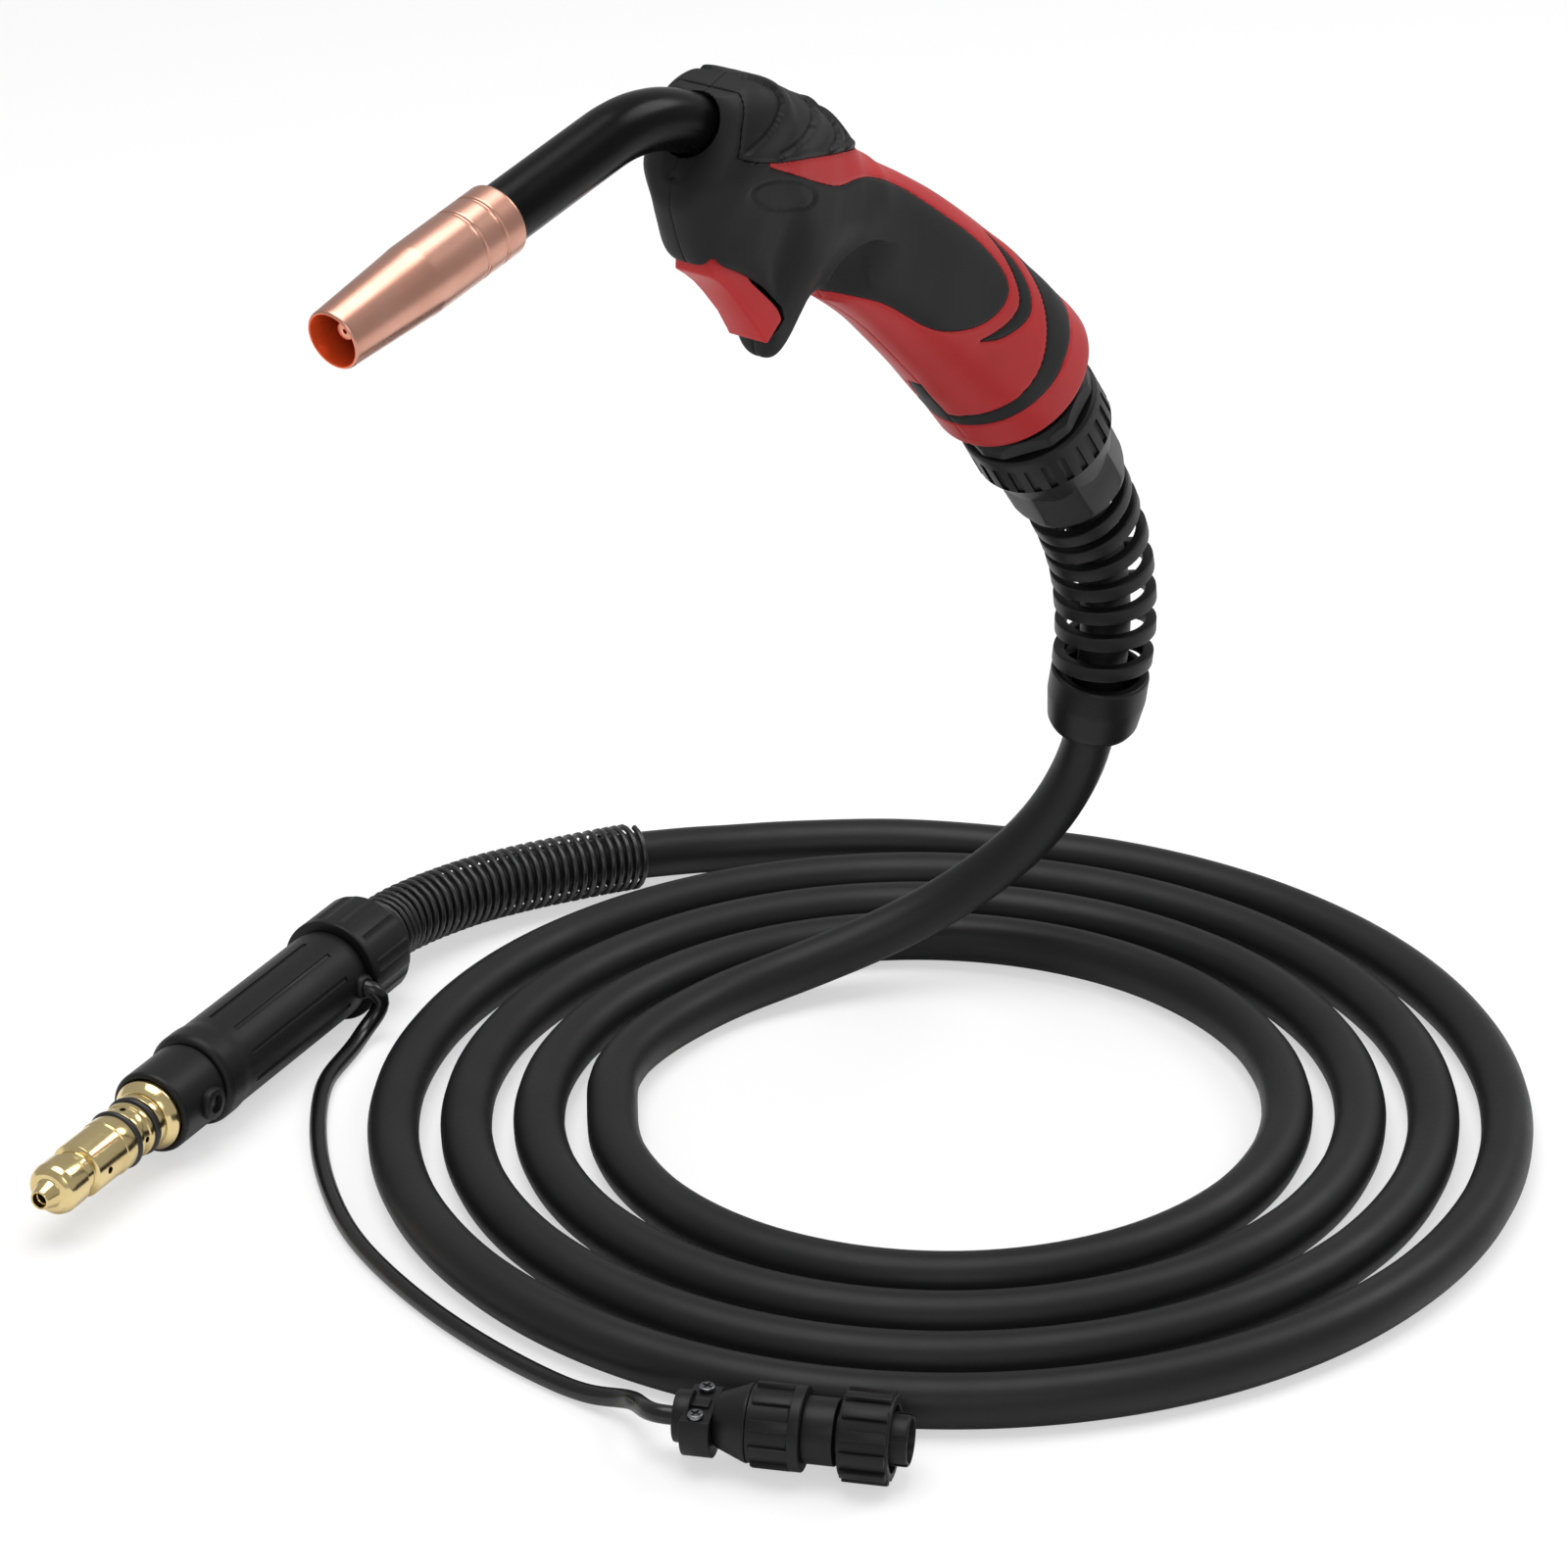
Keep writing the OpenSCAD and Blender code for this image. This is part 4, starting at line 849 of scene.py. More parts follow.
def eased(outline, ease=0.4, arc=3):
    """Rounds the corners of a closed outline of radius and height, off its axis."""
    out = []
    for k, here in enumerate(outline):
        p, a, b = (np.array(v, float) for v in (here, outline[k - 1], outline[(k + 1) % len(outline)]))
        if here[0] == 0:
            out.append(tuple(p))
            continue
        room = min(ease, 0.45 * np.linalg.norm(a - p), 0.45 * np.linalg.norm(b - p))
        start = p + room * (a - p) / np.linalg.norm(a - p)
        end = p + room * (b - p) / np.linalg.norm(b - p)
        for t in np.linspace(0, 1, arc + 1):
            out.append(tuple((1 - t) ** 2 * start + 2 * t * (1 - t) * p + t * t * end))
    return out


def turned(outline, steps=96):
    """A solid of revolution about Z from a closed outline of radius and height."""
    count = len(outline)
    edges = [(k, (k + 1) % count) for k in range(count)]
    edges = [(a, b) for a, b in edges if outline[a][0] or outline[b][0]]
    piece = new_piece([(r, 0, z) for r, z in outline], edges, [])
    select_only(piece)
    bpy.ops.object.mode_set(mode="EDIT")
    bpy.ops.mesh.select_all(action="SELECT")
    bpy.ops.mesh.spin(steps=steps, angle=2 * math.pi, center=(0, 0, 0), axis=(0, 0, 1))
    bpy.ops.mesh.select_all(action="SELECT")
    bpy.ops.mesh.remove_doubles(threshold=0.002)
    bpy.ops.mesh.normals_make_consistent(inside=False)
    bpy.ops.object.mode_set(mode="OBJECT")
    return piece


def rod(radius, low, high, sides=48, turn=0.0):
    """A round or many-sided rod on Z."""
    bpy.ops.object.select_all(action="DESELECT")
    bpy.ops.mesh.primitive_cylinder_add(
        vertices=sides, radius=radius, depth=high - low, location=(0, 0, (low + high) / 2),
        rotation=(0, 0, radians(turn)),
    )
    bpy.ops.object.transform_apply(location=True, rotation=True, scale=True)
    return bpy.context.object


def block(size, place):
    bpy.ops.object.select_all(action="DESELECT")
    bpy.ops.mesh.primitive_cube_add(size=1, location=place, scale=size)
    bpy.ops.object.transform_apply(location=True, rotation=True, scale=True)
    return bpy.context.object


def moved(piece, place, angle=0.0, axis="Z"):
    """Turns a piece about an axis through the origin, then shifts it."""
    piece.data.transform(Matrix.Translation(place) @ Matrix.Rotation(radians(angle), 4, axis))
    return piece


def sideways(piece, angle, height):
    """Lays a rod that stands on Z out along a radius, at an angle and a height."""
    return moved(moved(piece, (0, 0, 0), 90, "Y"), (0, 0, height), angle)


def ring_of(piece, count, phase=0.0):
    """Copies of a piece turned about Z, joined into one."""
    mesh = bmesh.new()
    for k in range(count):
        copy = piece.data.copy()
        copy.transform(Matrix.Rotation(radians(phase + 360 * k / count), 4, "Z"))
        mesh.from_mesh(copy)
        bpy.data.meshes.remove(copy)
    mesh.to_mesh(piece.data)
    mesh.free()
    return piece


def combine(piece, other, how="DIFFERENCE"):
    """Cuts, joins or keeps what two pieces share."""
    modifier = piece.modifiers.new("combine", "BOOLEAN")
    modifier.operation = how
    modifier.solver = "EXACT"
    modifier.object = other
    select_only(piece)
    bpy.ops.object.modifier_apply(modifier="combine")
    bpy.data.objects.remove(other)
    return piece


def joined(pieces):
    """One piece from several."""
    whole = pieces[0]
    for piece in pieces[1:]:
        whole = combine(whole, piece, "UNION")
    return whole


def soften(piece, width, segments=2, angle=30):
    """Rounds the edges sharper than an angle."""
    modifier = piece.modifiers.new("soften", "BEVEL")
    modifier.width = width
    modifier.segments = segments
    modifier.limit_method = "ANGLE"
    modifier.angle_limit = radians(angle)
    select_only(piece)
    bpy.ops.object.modifier_apply(modifier="soften")
    return piece


def lofted(rings):
    """A solid skinned over closed rings of points."""
    count = len(rings[0])
    points = [p for ring in rings for p in ring]
    faces = [list(range(count - 1, -1, -1)), [len(points) - count + k for k in range(count)]]
    for row in range(len(rings) - 1):
        for k in range(count):
            a, b = row * count + k, row * count + (k + 1) % count
            faces.append([a, b, b + count, a + count])
    piece = new_piece(points, [], faces)
    select_only(piece)
    bpy.ops.object.mode_set(mode="EDIT")
    bpy.ops.mesh.select_all(action="SELECT")
    bpy.ops.mesh.normals_make_consistent(inside=False)
    bpy.ops.object.mode_set(mode="OBJECT")
    return piece


def dress(piece, name, finish, body, nodes, place=None, sharp=32):
    """Sets a piece in place and gives it its finish, its body and the CAD nodes it stands for."""
    piece.name = name
    piece.data.transform(place or Matrix.Scale(MM, 4))
    piece.data.materials.clear()
    piece.data.materials.append(FINISHES[finish])
    select_only(piece)
    bpy.ops.object.shade_smooth_by_angle(angle=radians(sharp))
    return stand_in(piece, body, nodes)


def unit(v):
    return v / np.linalg.norm(v)


def directions(points):
    ends = np.concatenate([[2 * points[0] - points[1]], points, [2 * points[-1] - points[-2]]])
    return np.array([unit(b - a) for a, b in zip(ends, ends[2:])])


def carried(along, start):
    """A side direction carried square along a path."""
    out = []
    side = np.array(start, float)
    for t in along:
        side = unit(side - (side @ t) * t)
        out.append(side)
    return np.array(out)


def route_point(route, share):
    """Smooth points on a route, at shares of it from 0 to 1."""
    return spline_rows(route, np.asarray(share) * (len(route) - 1))


# ---- torch head ----------------------------------------------------------------------

def make_head():
    points = [BEND_START - s * slope_way(HEAD_SLOPE) for s in (14, 9, 4)]
    points += [BEND_CENTRE + BEND_R * square_way(a) for a in np.linspace(HEAD_SLOPE, NOSE_SLOPE, 46)]
    end = points[-1]
    points += [end + s * slope_way(NOSE_SLOPE) for s in (8, 16, 24, 32, 40, 50.5)]
    cord_piece("swan_neck", np.array(points), NECK_R, "neck_black", "handle", ["neck_jacket"], 12)
    nozzle_place = aim(NOZZLE_AT, 0, NOSE_SLOPE)
    nozzle = turned(eased([
        (9.2, 0), (9.9, 0), (10.3, 0.5), (10.3, 1.6), (10.3, 5.9), (10.3, 7.0), (9.9, 7.2),
        (9.9, 7.9), (10.3, 8.1), (10.3, 9.2), (10.3, 13.7), (10.3, 14.8), (9.9, 15.0), (9.9, 15.7),
        (10.3, 15.9), (10.3, 17), (10.3, 31), (10.3, 33.5), (10.02, 37), (9.78, 40.8), (8.5, 62.9),
        (8.4, 64.9), (8.0, 65.4), (7.45, 65.4), (7.45, 61.4), (8.8, 37), (9.2, 32), (9.2, 29),
    ], 0.35), 160)
    dress(nozzle, "gas_nozzle", "nozzle_copper", "nozzle", ["nozzle"], nozzle_place, 40)
    tip = turned(eased([(0.6, 30.5), (4, 30.5), (4, 53), (2.5, 60.6), (0.6, 60.6)], 0.3), 64)
    dress(tip, "contact_tip_piece", "tip_copper", "handle", ["contact_tip"], nozzle_place)


# ---- trigger -------------------------------------------------------------------------

# Down its face: the face's x and z, the back's, and half the face's width.
TRIGGER_FORM = [
    (96.8, 36.0, 89.4, 37.6, 6.2), (97.2, 32.0, 87.2, 34.4, 6.4), (97.2, 28.6, 85.8, 30.6, 6.6),
    (93.6, 26.0, 84.6, 27.0, 6.4), (90.0, 22.9, 82.0, 23.3, 6.1), (86.4, 19.0, 78.9, 20.4, 5.9),
    (83.1, 15.1, 75.8, 17.6, 5.9), (79.9, 11.4, 73.0, 14.9, 6.0), (77.3, 7.6, 70.8, 12.6, 6.3),
    (74.9, 4.4, 69.4, 10.2, 6.7), (73.6, 2.4, 68.9, 8.4, 7.0),
]
# Half the trigger's width at its back, and the middle of its pin.
TRIGGER_HALF = 8.45
TRIGGER_PIN = (92.5, 0, 38)


def make_trigger():
    wide = TRIGGER_HALF
    rings = []
    for fx, fz, bx, bz, face in TRIGGER_FORM:
        rings.append([(fx, -face, fz), (fx, face, fz), (bx, wide, bz), (bx, -wide, bz)])
    trigger = soften(lofted(rings), 0.6, 3, 24)
    dress(trigger, "finger_trigger", "trigger_red", "trigger", ["trigger"], None, 38)
    pin = moved(soften(rod(1.5, -9.3, 9.3, 32), 0.2), TRIGGER_PIN, 90, "X")
    dress(pin, "trigger_hinge_pin", "steel", "handle", ["trigger_pin"])


# ---- cable support -------------------------------------------------------------------

# Radii of the bores: over the hub, round the cable with room, and close round the cable.
HUB_BORE = 15.25
WIDE_BORE = 8.5
CLOSE_BORE = 8.1
# Stations along the support's axis from the ball, and the outer radii.
LOCK_FROM = 16.8
LOCK_TO = 22.2
LOCK_R = 21.9
NUT_FROM = 24.1
NUT_R = 22.3
NUT_SLOTS = 26
HEAD_FROM = 39.2
CONE_TO = 51.6
HEAD_TO = 64.4
COLLAR_TOP = np.array([-103.8, -1.5, -162.4])
SLEEVE_R = 15.4
SLEEVE_TAPER = 1.4
SLEEVE_LEN = 76.6
# Stations of the strip's middle at each half turn, first right and then left.
SLEEVE_MARKS = [
    61, 75.5, 71.4, 85.2, 80.2, 94.3, 91.5, 103.5, 102.9, 113.4, 113.2, 123.7, 123.2, 135.8, 133.2,
    144,
]


def bend_relief():
    """A flat strip with rounded edges, stepping on to its next turn round the back."""
    steps, parts = 24, 300
    axis = route_point(SLEEVE_ROUTE, np.linspace(0, 1, parts + 1))
    along = directions(axis)
    side = carried(along, (0, 1, 0))
    section = eased([(-1.7, -2.4), (-1.7, 2.4), (1.75, 2.4), (1.75, -2.4)], 0.55, 3)
    rings = []
    for i in range(5, steps * (len(SLEEVE_MARKS) - 1) - 3):
        k, t = divmod(i / steps, 1)
        t = t * t * (3 - 2 * t)
        station = (1 - t) * SLEEVE_MARKS[int(k)] + t * SLEEVE_MARKS[int(k) + 1]
        share = (station - HEAD_TO) / SLEEVE_LEN
        j = share * parts
        middle, way, flank = (
            np.array([np.interp(j, range(parts + 1), rows[:, c]) for c in range(3)])
            for rows in (axis, along, side)
        )
        middle = middle + min(share, 0) * SLEEVE_LEN * way
        a = radians(-45 - 180 * i / steps)
        out = math.cos(a) * flank + math.sin(a) * np.cross(way, flank)
        # The strip sinks a little where it enters the collar and the head.
        sunk = 0.6 * float(smoothstep(136, 141, station)) + 0.8 * float(smoothstep(66, 63, station))
        middle = middle + (SLEEVE_R - SLEEVE_TAPER * share - sunk) * out
        rings.append([middle + u * out + w * way for u, w in section])
    return lofted(rings)


def make_support():
    place = aim(BALL, 180, SUPPORT_SLOPE)
    ring = turned(eased([
        (HUB_BORE, LOCK_FROM), (20.2, LOCK_FROM), (LOCK_R, LOCK_FROM + 2.2), (LOCK_R, LOCK_TO),
        (HUB_BORE, LOCK_TO),
    ], 0.5))
    # A hexagon with its corners cut.
    angles = [radians(60 * k + corner - 64.5) for k in range(6) for corner in (-9.5, 9.5)]
    corner_r = LOCK_R - 0.1
    prism = lofted([[(corner_r * math.cos(a), corner_r * math.sin(a), z) for a in angles] for z in (10, 30)])
    ring = combine(ring, soften(prism, 0.8, 3, 12), "INTERSECT")
    dress(ring, "lock_hexagon", "moulded_black", "lead", ["lock_ring"], place, 25)
    nut = turned(eased([
        (HUB_BORE, NUT_FROM), (21.6, NUT_FROM), (NUT_R, NUT_FROM + 0.9), (NUT_R, HEAD_FROM - 0.05),
        (WIDE_BORE, HEAD_FROM - 0.05), (WIDE_BORE, NUT_FROM + 6.1), (HUB_BORE, NUT_FROM + 6.1),
    ], 0.45), 156)
    slot = soften(block((3, 2.5, 30), (NUT_R + 0.55, 0, NUT_FROM + 19.4)), 0.35, 2)
    slots = ring_of(slot, NUT_SLOTS)
    nut = combine(nut, slots)
    dress(nut, "fluted_nut", "moulded_black", "lead", ["support_nut"], place, 28)
    head = turned([
        (WIDE_BORE, HEAD_FROM), (NUT_R - 0.15, HEAD_FROM), (17.4, CONE_TO), (WIDE_BORE, CONE_TO),
    ])
    flats = turned(eased([
        (WIDE_BORE, 45), (19.3, 45), (18.9, 61.6), (18.0, HEAD_TO), (WIDE_BORE, HEAD_TO),
    ], 0.8))
    flats = combine(flats, rod(19.1, 40, 80, 8, 34), "INTERSECT")
    head = soften(combine(head, flats, "UNION"), 0.35, 2, 12)
    dress(head, "support_flats", "moulded_black", "lead", ["support_head"], place, 20)
    dress(bend_relief(), "bend_relief", "moulded_black", "lead", ["support_sleeve"], None, 50)
    way = np.array(COLLAR_END) - COLLAR_TOP
    tall = np.linalg.norm(way)
    heading = math.degrees(math.atan2(way[1], way[0]))
    place = aim(COLLAR_TOP, heading, math.degrees(math.asin(way[2] / tall)))
    collar = turned(eased([
        (CLOSE_BORE, 4), (12.3, 4), (12.3, -1.3), (15.1, -1.3), (15.7, -0.5), (15.8, 8),
        (14.5, 17.8), (12.9, 20.5), (CLOSE_BORE, 20.5),
    ], 0.8, 4))
    dress(collar, "cable_collar", "moulded_black", "lead", ["support_collar"], place)


# ---- machine plug --------------------------------------------------------------------

# The spring guard: turns lying close at each end and apart between, and the space of a close one.
GUARD_CLOSED = 4
GUARD_OPEN = 24
GUARD_CLOSED_TURN = 2.96
GUARD_LEN = 111.0
GUARD_R = 10.45
# Stations along the plug from its tip, and the bores over the pin and through it.
SCREW_AT = 74
SEALS_AT = (41.2, 50.8)
PIN_FIT = 10.05
PIN_BORE = 2.06


def guard_points():
    """The wire of the spring guard: close turns at both ends, open ones between."""
    route = [tuple(PLUG_TIP + (PLUG_LEN + 1.4) * PLUG_AXIS), *reversed(LEAD_ROUTE[7:])]
    turns = GUARD_OPEN + 2 * GUARD_CLOSED
    turn = np.linspace(0, turns, 20 * turns + 1)
    shut = GUARD_CLOSED * GUARD_CLOSED_TURN
    marks = [0, GUARD_CLOSED, turns - GUARD_CLOSED, turns]
    run = np.interp(turn, marks, [0, shut, GUARD_LEN - shut, GUARD_LEN])
    axis = route_point(route, run / GUARD_LEN)
    along = directions(axis)
    side = carried(along, (0, 0, 1))
    angle = 2 * math.pi * turn[:, None]
    return axis + GUARD_R * (np.cos(angle) * side + np.sin(angle) * np.cross(side, along))


def make_machine_plug():
    place = aim(PLUG_TIP, PLUG_HEADING, 0)
    cord_piece("spring_wire", guard_points(), 1.0, "spring_black", "lead", ["spring_guard"], 3)
    body = turned(eased([
        (PIN_FIT, 82.1), (14.2, 82.1), (15.45, 84), (15.45, 90.5), (14.95, 94.5), (14.95, 161.2),
        (14.4, 165.5), (PIN_FIT, 165.5),
    ], 1.3, 5), 160)
    body = combine(body, ring_of(soften(block((1.5, 1.7, 56), (15.1, 0, 126)), 0.35, 2), 10, 30))
    body = combine(body, sideways(rod(4.2, 8, 30, 64), -90, GLAND_AT))
    dress(body, "plug_grip", "moulded_black", "lead", ["plug_body"], place, 30)
    sleeve = turned(eased([
        (11.65, 59.7), (12.8, 59.7), (13.5, 60.8), (13.5, 80.6), (13.2, 81.9), (PIN_FIT, 81.9),
        (PIN_FIT, 70.1), (11.65, 70.1),
    ], 0.6), 128)
    boss = sideways(soften(rod(5.2, 11.8, 15.3, 64), 0.9, 3), -90, SCREW_AT)
    sleeve = combine(sleeve, boss, "UNION")
    sleeve = combine(sleeve, sideways(rod(2.95, 8, 20, 48), -90, SCREW_AT))
    dress(sleeve, "plug_front", "moulded_black", "lead", ["plug_sleeve"], place, 35)
    screw = soften(rod(2.8, 10.3, 13.6, 48), 0.3)
    screw = combine(screw, rod(1.4, 12.4, 15, 6))
    dress(sideways(screw, -90, SCREW_AT), "locking_screw", "steel", "lead", ["plug_screw"], place)
    nut = turned(eased([
        (CLOSE_BORE, 165.7), (17.4, 165.7), (17.4, 186.8), (14.1, 191.7), (CLOSE_BORE, 191.7),
    ], 0.9, 4), 120)
    flute = ring_of(moved(rod(4.6, 168.6, 198.6, 48), (21.3, 0, 0)), 12, 15)
    dress(combine(nut, flute), "plug_nut_fluted", "moulded_black", "lead", ["plug_nut"], place, 30)
    pin = turned(eased([
        (PIN_BORE, 15.9), (6.9, 15.9), (6.9, 19.5), (8.8, 20), (8.8, 34.6), (9.1, 34.8), (9.1, 40),
        (7.9, 40.1), (7.9, 42.4), (9.0, 42.5), (9.0, 44), (8.4, 44.2), (8.4, 47.2), (9.0, 47.4),
        (9.0, 49.4), (7.9, 49.5), (7.9, 52.2), (9.2, 52.3), (9.2, 55.1), (PIN_BORE, 55.1),
    ], 0.25, 2), 128)
    pin = combine(pin, ring_of(sideways(rod(1.15, 3, 12, 32), 90, 25), 2))
    pin = combine(pin, ring_of(sideways(rod(1.0, 3, 12, 32), 0, 45.7), 4))
    dress(pin, "brass_pin", "brass", "lead", ["power_pin"], place, 35)
    collar = turned(eased([
        (6, 55.3), (9.4, 55.3), (10.4, 56.5), (11.5, 58.3), (11.5, 69.9), (6, 69.9),
    ], 0.35), 128)
    dress(collar, "brass_collar", "brass", "lead", ["pin_collar"], place)


def make_plug_trim():
    place = aim(PLUG_TIP, PLUG_HEADING, 0)
    nose = turned(eased([
        (PIN_BORE, 2.4), (2.4, 2.2), (2.4, 0.1), (2.9, 0), (3.2, 0.4), (4.5, 5), (6.2, 5.3),
        (7.7, 6.4), (8.3, 8.2), (8.3, 14.9), (7.8, 15.7), (PIN_BORE, 15.7),
    ], 0.4), 128)
    dress(nose, "brass_nose", "brass", "lead", ["pin_nose"], place, 40)
    seals = []
    for height in SEALS_AT:
        bpy.ops.object.select_all(action="DESELECT")
        bpy.ops.mesh.primitive_torus_add(
            location=(0, 0, height), major_radius=8.6, minor_radius=1.08, major_segments=96,
            minor_segments=20,
        )
        bpy.ops.object.transform_apply(location=True, rotation=True, scale=True)
        seals.append(bpy.context.object)
    dress(joined(seals), "o_rings", "seal_black", "lead", ["pin_seals"], place, 60)
    gland = turned(eased([
        (2.8, 10.5), (4.12, 10.5), (4.12, 15.6), (3.6, 16.6), (2.8, 16.6),
    ], 0.4), 64)
    gland = sideways(gland, -90, GLAND_AT)
    dress(gland, "lead_gland", "moulded_black", "lead", ["control_gland"], place)


# ---- control plug --------------------------------------------------------------------

def bars(count, radius, low, high, wide, tall):
    """Raised bars with rounded edges along a round grip."""
    sunk = 1.2
    middle = (radius + (tall - sunk) / 2, 0, (low + high) / 2)
    return ring_of(soften(block((tall + sunk, wide, high - low), middle), 0.4), count)


# How far the clamp's screws stand to each side, their height, and the contacts' circle.
CLAMP_SCREWS = (-7.3, 7.3)
CLAMP_MIDDLE = 7.2
CONTACT_R = 3.2
CONTACTS = 4


def contact_ring(piece):
    return ring_of(moved(piece, (CONTACT_R, 0, 0)), CONTACTS, 45)


def make_control_plug():
    place = aim(CTRL_AT, CTRL_HEADING, 0)
    disc = soften(rod(7.5, 0, 4.7, 96), 0.5)
    body = combine(rod(10.8, 3, 11.4, 96), block((30, 40, 8.4), (10.4, 0, 7.2)), "INTERSECT")
    body = soften(body, 1.6, 4)
    tab = soften(block((1.6, 5.0, 5.2), (-4.7, 0, 7.2)), 0.4)
    saddle = combine(combine(body, tab, "UNION"), disc, "UNION")
    saddle = combine(saddle, rod(LEAD_R + 0.03, -1, 13, 48))
    for y in CLAMP_SCREWS:
        saddle = combine(saddle, moved(rod(1.5, 0, 11, 32), (-6, y, CLAMP_MIDDLE), 90, "Y"))
    dress(saddle, "cord_clamp", "moulded_black", "lead", ["clamp_saddle"], place)
    screws = []
    for y in CLAMP_SCREWS:
        screw = combine(soften(rod(2.3, 0, 1.5, 48), 0.45, 3), rod(1.45, 0.5, 8.9, 48), "UNION")
        for turn in (25, 115):
            screw = combine(screw, moved(block((3.2, 0.7, 1.8), (0, 0, -0.1)), (0, 0, 0), turn))
        screws.append(moved(screw, (-6.1, y, CLAMP_MIDDLE), 90, "Y"))
    dress(joined(screws), "cross_head_screws", "zinc_screw", "lead", ["clamp_screws"], place)
    cone = turned(eased([
        (3, 11.5), (7.2, 11.5), (7.9, 12.6), (11.1, 20.6), (11.2, 21.4), (3, 21.4),
    ], 0.6), 128)
    dress(cone, "tapered_backshell", "moulded_black", "lead", ["backshell"], place)
    grip = turned(eased([
        (3, 21.5), (11, 21.5), (11, 33.4), (12.1, 33.6), (12.1, 36.6), (11.7, 36.9), (3, 36.9),
    ], 0.35), 128)
    grip = combine(grip, bars(9, 11, 22.6, 33.9, 3.4, 1.1), "UNION")
    dress(grip, "ribbed_backshell_ring", "moulded_black", "lead", ["backshell_ring"], place)
    barrel = turned(eased([
        (6.05, 36.97), (9.5, 36.97), (9.5, 45.9), (7.5, 46.4), (7.5, 66), (7.0, 66.5), (6.35, 66.5),
        (6.35, 50), (6.05, 50),
    ], 0.3), 128)
    barrel = combine(barrel, ring_of(block((3, 1.4, 6), (8.4, 0, 65.5)), 5, 20))
    dress(barrel, "keyed_shell", "moulded_black", "lead", ["plug_barrel"], place)
    ring = turned(eased([
        (7.62, 48.5), (9.6, 48.5), (9.6, 47.55), (11.8, 47.55), (11.9, 48.2), (11.9, 61.3),
        (11.5, 61.95), (9.6, 61.95), (9.6, 50.6), (7.62, 50.6),
    ], 0.3), 128)
    ring = combine(ring, bars(12, 11.9, 48.2, 61.3, 3.2, 1.35), "UNION")
    dress(ring, "coupling_grip", "moulded_black", "coupling", ["coupling_ring"], place)
    insert = combine(soften(rod(6.28, 50.1, 58.0, 96), 0.3), contact_ring(rod(1.06, 52, 60, 24)))
    dress(insert, "contact_insert", "hidden_black", "lead", ["plug_insert"], place)
    pins = contact_ring(soften(rod(0.98, 52.25, 61.5, 32), 0.35))
    dress(pins, "contact_pin_set", "brass", "lead", ["contact_pins"], place)


# ---- rear of the handle --------------------------------------------------------------

# The shell's screws, by x and z, the rear rim's slope, and the ball's radius and its two ends.
SCREW_SPOTS = [(96.5, 51), (26, 2.5), (-36, -12)]
RIM_SLOPE = -46.5
KNUCKLE_R = 21.8
KNUCKLE_FROM = -11
KNUCKLE_TO = 11.9


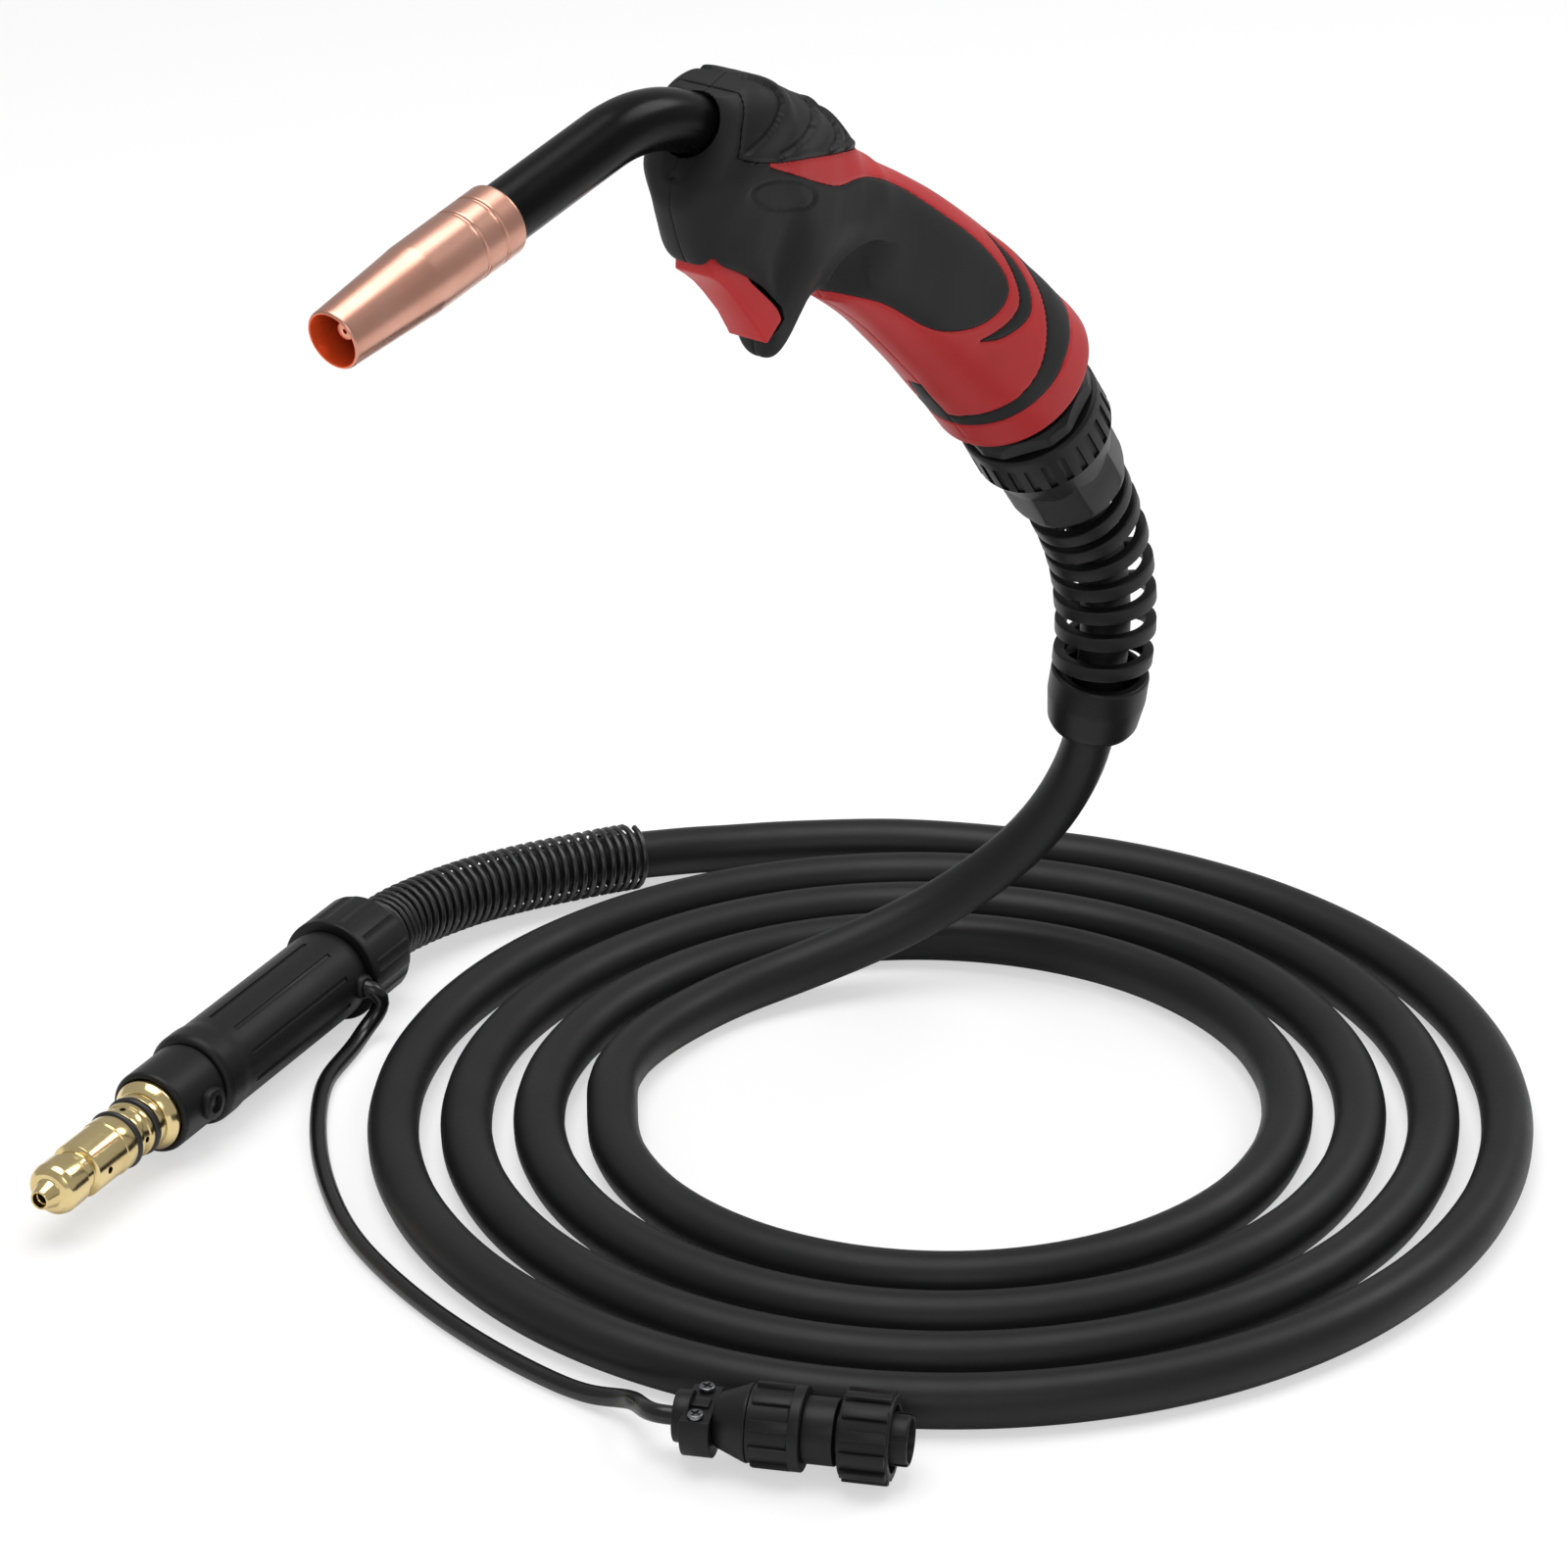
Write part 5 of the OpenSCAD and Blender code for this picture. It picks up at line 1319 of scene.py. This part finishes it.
def make_rear():
    place = aim(BALL, 180, RIM_SLOPE)
    rim = turned(eased([
        (22.95, 3.5), (26.15, 3.5), (26.15, 6.9), (25.5, 7.4), (22.95, 7.4),
    ], 0.4), 160)
    notch = ring_of(soften(block((1.2, 3.0, 1.2), (26.1, 0, 7.5)), 0.3), 8, 10)
    dress(combine(rim, notch), "rear_rim", "shell_red", "handle", ["end_rim"], place)
    place = aim(BALL, 180, SUPPORT_SLOPE)
    ends = [math.asin(height / KNUCKLE_R) for height in (KNUCKLE_FROM, KNUCKLE_TO)]
    outline = [(KNUCKLE_R * math.cos(a), KNUCKLE_R * math.sin(a)) for a in np.linspace(*ends, 25)]
    ball = turned(outline + [(15.27, KNUCKLE_TO), (15.27, KNUCKLE_FROM)], 128)
    dress(ball, "knuckle_ball", "moulded_black", "knuckle", ["knuckle_ring"], place)
    screws = []
    for x, z in SCREW_SPOTS:
        screw = combine(rod(1.48, 2.1, 20.2, 32), soften(rod(2.88, 0.02, 2.2, 48), 0.3), "UNION")
        screws.append(moved(combine(screw, rod(1.1, -1, 1.2, 6)), (x, -12, z), -90, "X"))
    dress(joined(screws), "moulding_screws", "steel", "handle", ["shell_screws"])


# ---- floor and light ----------------------------------------------------------------

# How much of the floor's white shows to the camera whatever the light.
FLOOR_GLOW = 0.55


def lay_floor():
    bpy.ops.object.select_all(action="DESELECT")
    bpy.ops.mesh.primitive_plane_add(size=16, location=(0, 0, FLOOR_Z))
    floor = bpy.context.object
    floor.name = "floor"
    look = Look("floor_white")
    look.set(Base_Color=(0.93, 0.93, 0.93, 1), Roughness=0.9, Specular_IOR_Level=0.1)
    seen = look.node("ShaderNodeLightPath", output="Is Camera Ray")
    white = look.node("ShaderNodeEmission", {}, {"Color": (1, 1, 1, 1), "Strength": 1.0})
    mix = look.node(
        "ShaderNodeMixShader", {}, {0: seen * FLOOR_GLOW, 1: Wire(look, look.shader.outputs[0]), 2: white}
    )
    look.plug(look.tree.nodes["Material Output"].inputs["Surface"], mix)
    floor.data.materials.append(look.material)


def light_studio():
    world = bpy.data.worlds.new("studio")
    bpy.context.scene.world = world
    world.use_nodes = True
    background = world.node_tree.nodes["Background"]
    background.inputs["Color"].default_value = (1, 1, 1, 1)
    background.inputs["Strength"].default_value = 0.5
    lamps = [
        ("overhead", (0.1, -0.2, 1.7), (0.0, 0.0, 0.0), 1.6, 26),
        ("front_left", (1.6, 1.3, 0.9), (0.05, 0.0, -0.1), 1.0, 7),
        ("behind", (-1.4, 0.6, 1.3), (0.0, 0.0, 0.0), 1.0, 12),
    ]
    for name, place, target, size, power in lamps:
        data = bpy.data.lights.new(name, "AREA")
        data.shape = "DISK"
        data.size = size
        data.energy = power
        lamp = bpy.data.objects.new(name, data)
        lamp.location = place
        lamp.rotation_euler = (Vector(target) - Vector(place)).to_track_quat("-Z", "Y").to_euler()
        bpy.context.scene.collection.objects.link(lamp)


set_camera()
dress_cad_nodes()
make_handle()
make_head()
make_trigger()
make_support()
make_machine_plug()
make_plug_trim()
make_control_plug()
make_rear()
make_cords()
lay_floor()
light_studio()
bpy.context.scene.view_settings.view_transform = "Standard"
